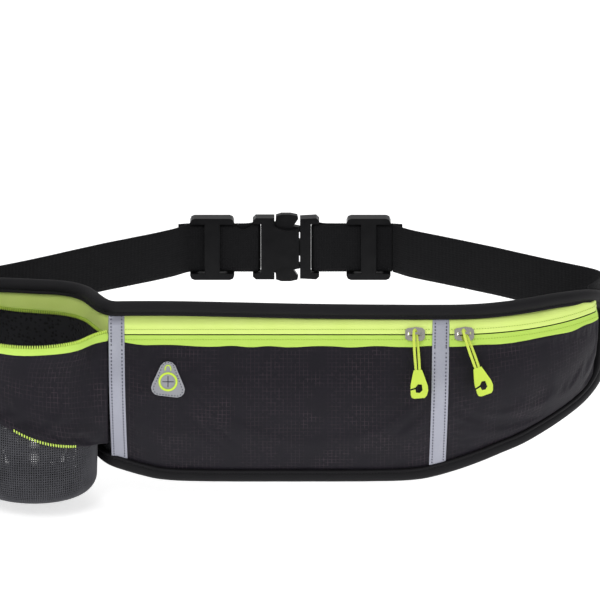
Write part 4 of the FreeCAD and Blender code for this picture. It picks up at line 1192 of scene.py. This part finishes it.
# ------------------------------------------------------------------- webbing
WH, WT = 33.0, 1.2
RUN = [(180, 109.5), (168, 118.2), (152, 130.5), (136, 143), (120, 155), (103, 167),
       (90, 175.8), (78, 185.0), (71.5, 191.8)]
R_START = [(191.3, 57.7), (196.1, 67.3), (199.4, 75.6), (201.6, 83.5), (201.8, 89), (199, 94.5), (191.5, 101.3)]
L_START = [(-195.0, 74.2), (-200.0, 81.8), (-202.2, 88), (-201.8, 92.3), (-198.5, 96.2), (-191.5, 101.6)]


def web(name, pts, side, ns_per=1.1, th=1.3, wave_amp=0.0, sag=None):
    """Flat woven tape standing on edge along a plan line."""
    path = catmull([(x, FY + d) for x, d in pts], 8)
    d = np.concatenate([[0], np.cumsum(np.hypot(*np.diff(path, axis=0).T))])
    n_ = max(8, int(d[-1] / 0.55))
    q = np.linspace(0, d[-1], n_)
    X = np.interp(q, d, path[:, 0]); Y = np.interp(q, d, path[:, 1])
    tx, ty = np.gradient(X), np.gradient(Y)
    l = np.hypot(tx, ty)
    nx, ny = -ty / l * side, tx / l * side
    prof = []
    k = 16
    for j in range(k):
        prof.append((-1 + 2 * j / (k - 1), 0.5))
    for j in range(k):
        prof.append((1 - 2 * j / (k - 1), -0.5))
    verts, wv = [], []
    for i in range(n_):
        rib = 0.07 * math.sin(i * math.pi)  # ribs come from alternate samples below
        al = 1.0 if i % 2 == 0 else 0.0
        for j, (h, sd) in enumerate(prof):
            edge = 1 - 0.35 * (abs(h) > 0.99)
            z = h * (WH / 2 - 0.25 + 0.22 * al * (abs(h) > 0.99))
            t = th * sd * edge * (1.0 + 0.16 * al * (1 if abs(h) < 0.99 else 0))
            bow = wave_amp * math.sin(q[i] * 0.12) * h
            z += 0.12 * nz(q[i], h, 0, 0.05, 8)
            if sag and Y[i] < FY + 196.6 and h > 0:
                z -= sag(X[i]) * h
            c_ = th / 2
            verts.append((X[i] + nx[i] * (c_ + t + bow), Y[i] + ny[i] * (c_ + t + bow), z))
            wv.append((q[i] * MM, h * WH / 2 * MM, sd * 0.003))
    m_ = len(prof)
    faces = []
    for i in range(n_ - 1):
        for j in range(m_):
            a, b_ = i * m_ + j, i * m_ + (j + 1) % m_
            faces.append((a, b_, b_ + m_, a + m_) if side > 0 else (a, a + m_, b_ + m_, b_))
    faces.append(tuple(range(m_ - 1, -1, -1)) if side > 0 else tuple(range(m_)))
    faces.append(tuple((n_ - 1) * m_ + j for j in range(m_)) if side > 0 else tuple((n_ - 1) * m_ + j for j in range(m_ - 1, -1, -1)))
    return make(name, verts, faces, wv)


spanl = L_START + [(-x, d) for x, d in RUN]
webl = spanl + [(-67.6, 195.2), (-63, 195.9), (-52, 195.75), (-40, 195.9), (-30, 195.8), (-24, 195.8), (-21.4, 196.2), (-19.95, 198.0),
                (-19.95, 200.2), (-21.4, 201.6), (-24.4, 202.0), (-27.2, 200.6), (-30, 199.8), (-40, 199.7), (-52, 199.75), (-64, 199.8), (-74.5, 197.7)]
w1 = web("webbing_left_woven", webl, 1, sag=lambda x: 3.6 * math.exp(-((x + 31.5) / 5.0) ** 2))
done(w1, M_WEB, BAG, "webbing", "webbing_left")
webr = [(67.6, 195.8), (60, 195.8), (52, 195.75), (40, 195.9), (28, 195.8), (19, 195.8), (15.6, 196.2), (14.05, 198.0), (14.05, 200.2),
        (15.6, 201.6), (18.6, 202.0), (21.4, 200.6), (24.5, 199.8), (40, 199.7), (52, 199.75), (64, 199.8), (74.5, 197.7)]
w2 = web("webbing_right_loop_woven", webr, -1, sag=lambda x: 1.2 * math.exp(-((x - 27) / 6.0) ** 2))
done(w2, M_WEB, "plug_half", "webbing", "webbing_right_loop")
spanr = R_START + RUN + [(68.0, 195.3)]
w3 = web("webbing_right_span_woven", spanr, -1)
paint(w3, M_WEB)
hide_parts("webbing_right_span")
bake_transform(w3)

# ------------------------------------------------------------- cable port
for nname, mat, bv in (("cable_port_ring", M_RINGM, 0.25), ("cable_port_membrane", M_PATCH, 0.0)):
    paint_node(nname, mat, bv)
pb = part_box("cable_port_patch")
paint_node("cable_port_patch", M_PATCH, 0.2)

rv = np.array([NODES["cable_port_ring"].matrix_world @ v.co for v in NODES["cable_port_ring"].data.vertices])
rc = (rv.max(axis=0) + rv.min(axis=0)) / 2
_, _, vh = np.linalg.svd(rv - rv.mean(axis=0))
pn = vh[2] if vh[2][1] < 0 else -vh[2]
pu = np.array([0, 0, 1.0]) - pn * pn[2]
pu /= np.linalg.norm(pu)
px_ = np.array([1.0, 0, 0])
hw = 10.8


def port(x, z, h):
    """Point on the patch in mm: x across, z up from the patch centre, h above its face."""
    q = rc / MM + px_ * x + pu * (z + 2.2) + pn * (h + 0.1)
    return tuple(q)


def outline(shrink):
    pts = []
    for cx, cz, a0, r in ((0, 6.4, 90, 5.4), (-hw + 5.0, -6.6, 210, 5.0), (hw - 5.0, -7.9, 330, 5.0)):
        for da in (-60, -40, -20, 0, 20, 40, 60):
            a = math.radians(a0 + da)
            pts.append((cx + (r - shrink) * math.cos(a), cz + (r - shrink) * math.sin(a)))
    return pts


ol = outline(1.5)
ol = np.array(ol + ol[:1])
ld = np.concatenate([[0], np.cumsum(np.hypot(*np.diff(ol, axis=0).T))])
rows = []
for q in np.arange(0, ld[-1], 1.9):
    x0_, z0_ = np.interp(q, ld, ol[:, 0]), np.interp(q, ld, ol[:, 1])
    x1_, z1_ = np.interp(q + 0.3, ld, ol[:, 0]), np.interp(q + 0.3, ld, ol[:, 1])
    a_, b_ = port(x0_, z0_, 0.1), port(x1_, z1_, 0.1)
    rows.append((a_, tuple(np.array(b_) - np.array(a_)), tuple(pn)))
done(stitches("cable_port_stitching", rows, 0.22, 1.0), M_GREYTH, BAG, "grey_rubber")
# raised outline of an ear piece over the slit
arc = [(-1.75, 5.0), (-1.85, 6.2), (-1.5, 7.5), (-0.8, 8.2), (0, 8.4), (0.8, 8.2), (1.5, 7.5), (1.85, 6.2), (1.75, 5.0)]
cv = bpy.data.curves.new("cable_port_arch", "CURVE")
cv.dimensions = "3D"
sp_ = cv.splines.new("POLY")
sp_.points.add(len(arc) - 1)
for q_, (ax, az) in zip(sp_.points, arc):
    c3 = port(ax, az, 0.05)
    q_.co = (c3[0] * MM, c3[1] * MM, c3[2] * MM, 1)
cv.bevel_depth = 0.42 * MM
cv.bevel_resolution = 3
cv.use_fill_caps = True
oc = bpy.data.objects.new("cable_port_arch_line", cv)
sc.collection.objects.link(oc)
me_ = bpy.data.meshes.new_from_object(oc.evaluated_get(bpy.context.evaluated_depsgraph_get()))
bpy.data.objects.remove(oc)
oa = bpy.data.objects.new("cable_port_arch", me_)
sc.collection.objects.link(oa)
done(oa, M_RINGM, BAG, "lime_rubber")

# ---------------------------------------------------------------- hard parts
for nm in ("left_adjuster", "right_adjuster", "buckle_socket", "buckle_plug", "catch_arm_upper", "catch_arm_lower"):
    paint_node(nm, M_PLA, 0.55)
for nm in ("main_slider", "side_slider", "holster_slider"):
    paint_node(nm, M_MET, 0.25)
for nm in ("main_pull_tip", "side_pull_tip", "holster_pull_tip"):
    paint_node(nm, M_TIP, 0.45)


def wall(name, s, node):
    """Cloth wall across the pocket, from the panel face to just inside the shell."""
    edge = []
    for t in np.linspace(-10.6, low_t(s) - 0.5, 10):
        out, z = band(t, -1.6)
        edge.append((tuck(t, out), z))
    for u in np.linspace(0.04, 0.97, 26):
        out, z = belly(s, u)
        edge.append((max(0.5, out - 2.0), z))
    us, vs = [0, 1], list(range(len(edge)))

    def f(u, j):
        out, z = edge[j]
        k = u
        return P(s, 0.35 + (out - 0.35) * k, z)

    ob = grid(name, np.linspace(0, 1, 8), vs, f)
    solid(ob, 0.9, 0.0)
    bake_mods(ob)
    done(ob, M_LINING, BAG, "panel_fabric", node)


wall("left_end_wall_cloth", -110.2, "left_end_wall")
wall("pocket_divider_cloth", 95.6, "pocket_divider")

# --------------------------------------------------------------- pull cords
ROUTE = [(-1.15, 0.0, -23.6), (-1.35, -0.5, -15.2), (-1.15, -1.8, -4.2), (-0.8, -2.3, 1.33),
         (0.0, 0.0, 2.656), (0.8, 2.3, 1.33), (1.15, 1.5, -4.2), (1.35, 0.45, -15.0), (1.15, 0.0, -23.6)]


def cordpiece(prefix, body, hinge, rot):
    cu = bpy.data.curves.new(prefix + "_pull_cord_line", "CURVE")
    cu.dimensions = "3D"
    sp = cu.splines.new("NURBS")
    sp.points.add(len(ROUTE) - 1)
    M = Matrix.Translation(Vector(hinge) * MM) @ rot.to_4x4()
    pts = [M @ (Vector(p) * MM) for p in ROUTE]
    for q, p in zip(sp.points, pts):
        q.co = (p.x, p.y, p.z, 1.0)
    sp.order_u = 3
    sp.use_endpoint_u = True
    sp.resolution_u = 14
    cu.resolution_u = 14
    cu.bevel_depth = 0.9 * MM
    cu.bevel_resolution = 5
    cu.use_fill_caps = True
    ob = bpy.data.objects.new(prefix + "_pull_cord_line", cu)
    sc.collection.objects.link(ob)
    cu.materials.append(M_CORD)
    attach(ob, body)
    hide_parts(prefix + "_pull_cord")
    tuple(pts[0])


R = lambda ax, a: Matrix.Rotation(math.radians(a), 3, ax)
cordpiece("main", "main_pull", (80.0, -115.7636, 7.3234), R("X", -26) @ R("X", 3) @ R("Y", -4))
cordpiece("side", "side_pull", (111.7416, -115.4047, 7.3234), R("Z", 4.4) @ R("X", -26) @ R("X", 3) @ R("Y", -18))
cordpiece("holster", "holster_pull", (-214.2, -51.0, 9.2), R("Z", -90))

# --------------------------------------------------------------------- stage
fl = bpy.data.meshes.new("floor")
fl.from_pydata([(-30, -30, -0.112), (30, -30, -0.112), (30, 30, -0.112), (-30, 30, -0.112)], [], [(0, 1, 2, 3)])
floor = bpy.data.objects.new("floor", fl)
sc.collection.objects.link(floor)
fm = bpy.data.materials.new("floor_pale")
fm.use_nodes = True
fb = fm.node_tree.nodes["Principled BSDF"]
fb.inputs["Base Color"].default_value = (0.93, 0.93, 0.93, 1)
fb.inputs["Roughness"].default_value = 0.9
fb.inputs["Specular IOR Level"].default_value = 0.1
fb.inputs["Emission Color"].default_value = (1, 1, 1, 1)
fb.inputs["Emission Strength"].default_value = 0.62
fl.materials.append(fm)

w = bpy.data.worlds.new("studio")
w.use_nodes = True
w.node_tree.nodes["Background"].inputs["Color"].default_value = (1, 1, 1, 1)
w.node_tree.nodes["Background"].inputs["Strength"].default_value = 0.42
sc.world = w


def area(name, loc, size, power, aim=(0, -0.05, -0.03)):
    l = bpy.data.lights.new(name, "AREA")
    l.shape = "RECTANGLE"
    l.size, l.size_y = size
    l.energy = power
    o = bpy.data.objects.new(name, l)
    o.location = loc
    d = Vector(aim) - Vector(loc)
    o.rotation_euler = d.to_track_quat("-Z", "Y").to_euler()
    sc.collection.objects.link(o)
    return o


area("key", (-0.7, -1.3, 1.3), (1.0, 0.8), 10)
area("fill", (1.3, -1.1, 0.5), (1.0, 1.0), 3.5)
area("top", (0.1, 0.3, 1.6), (1.4, 1.0), 6)
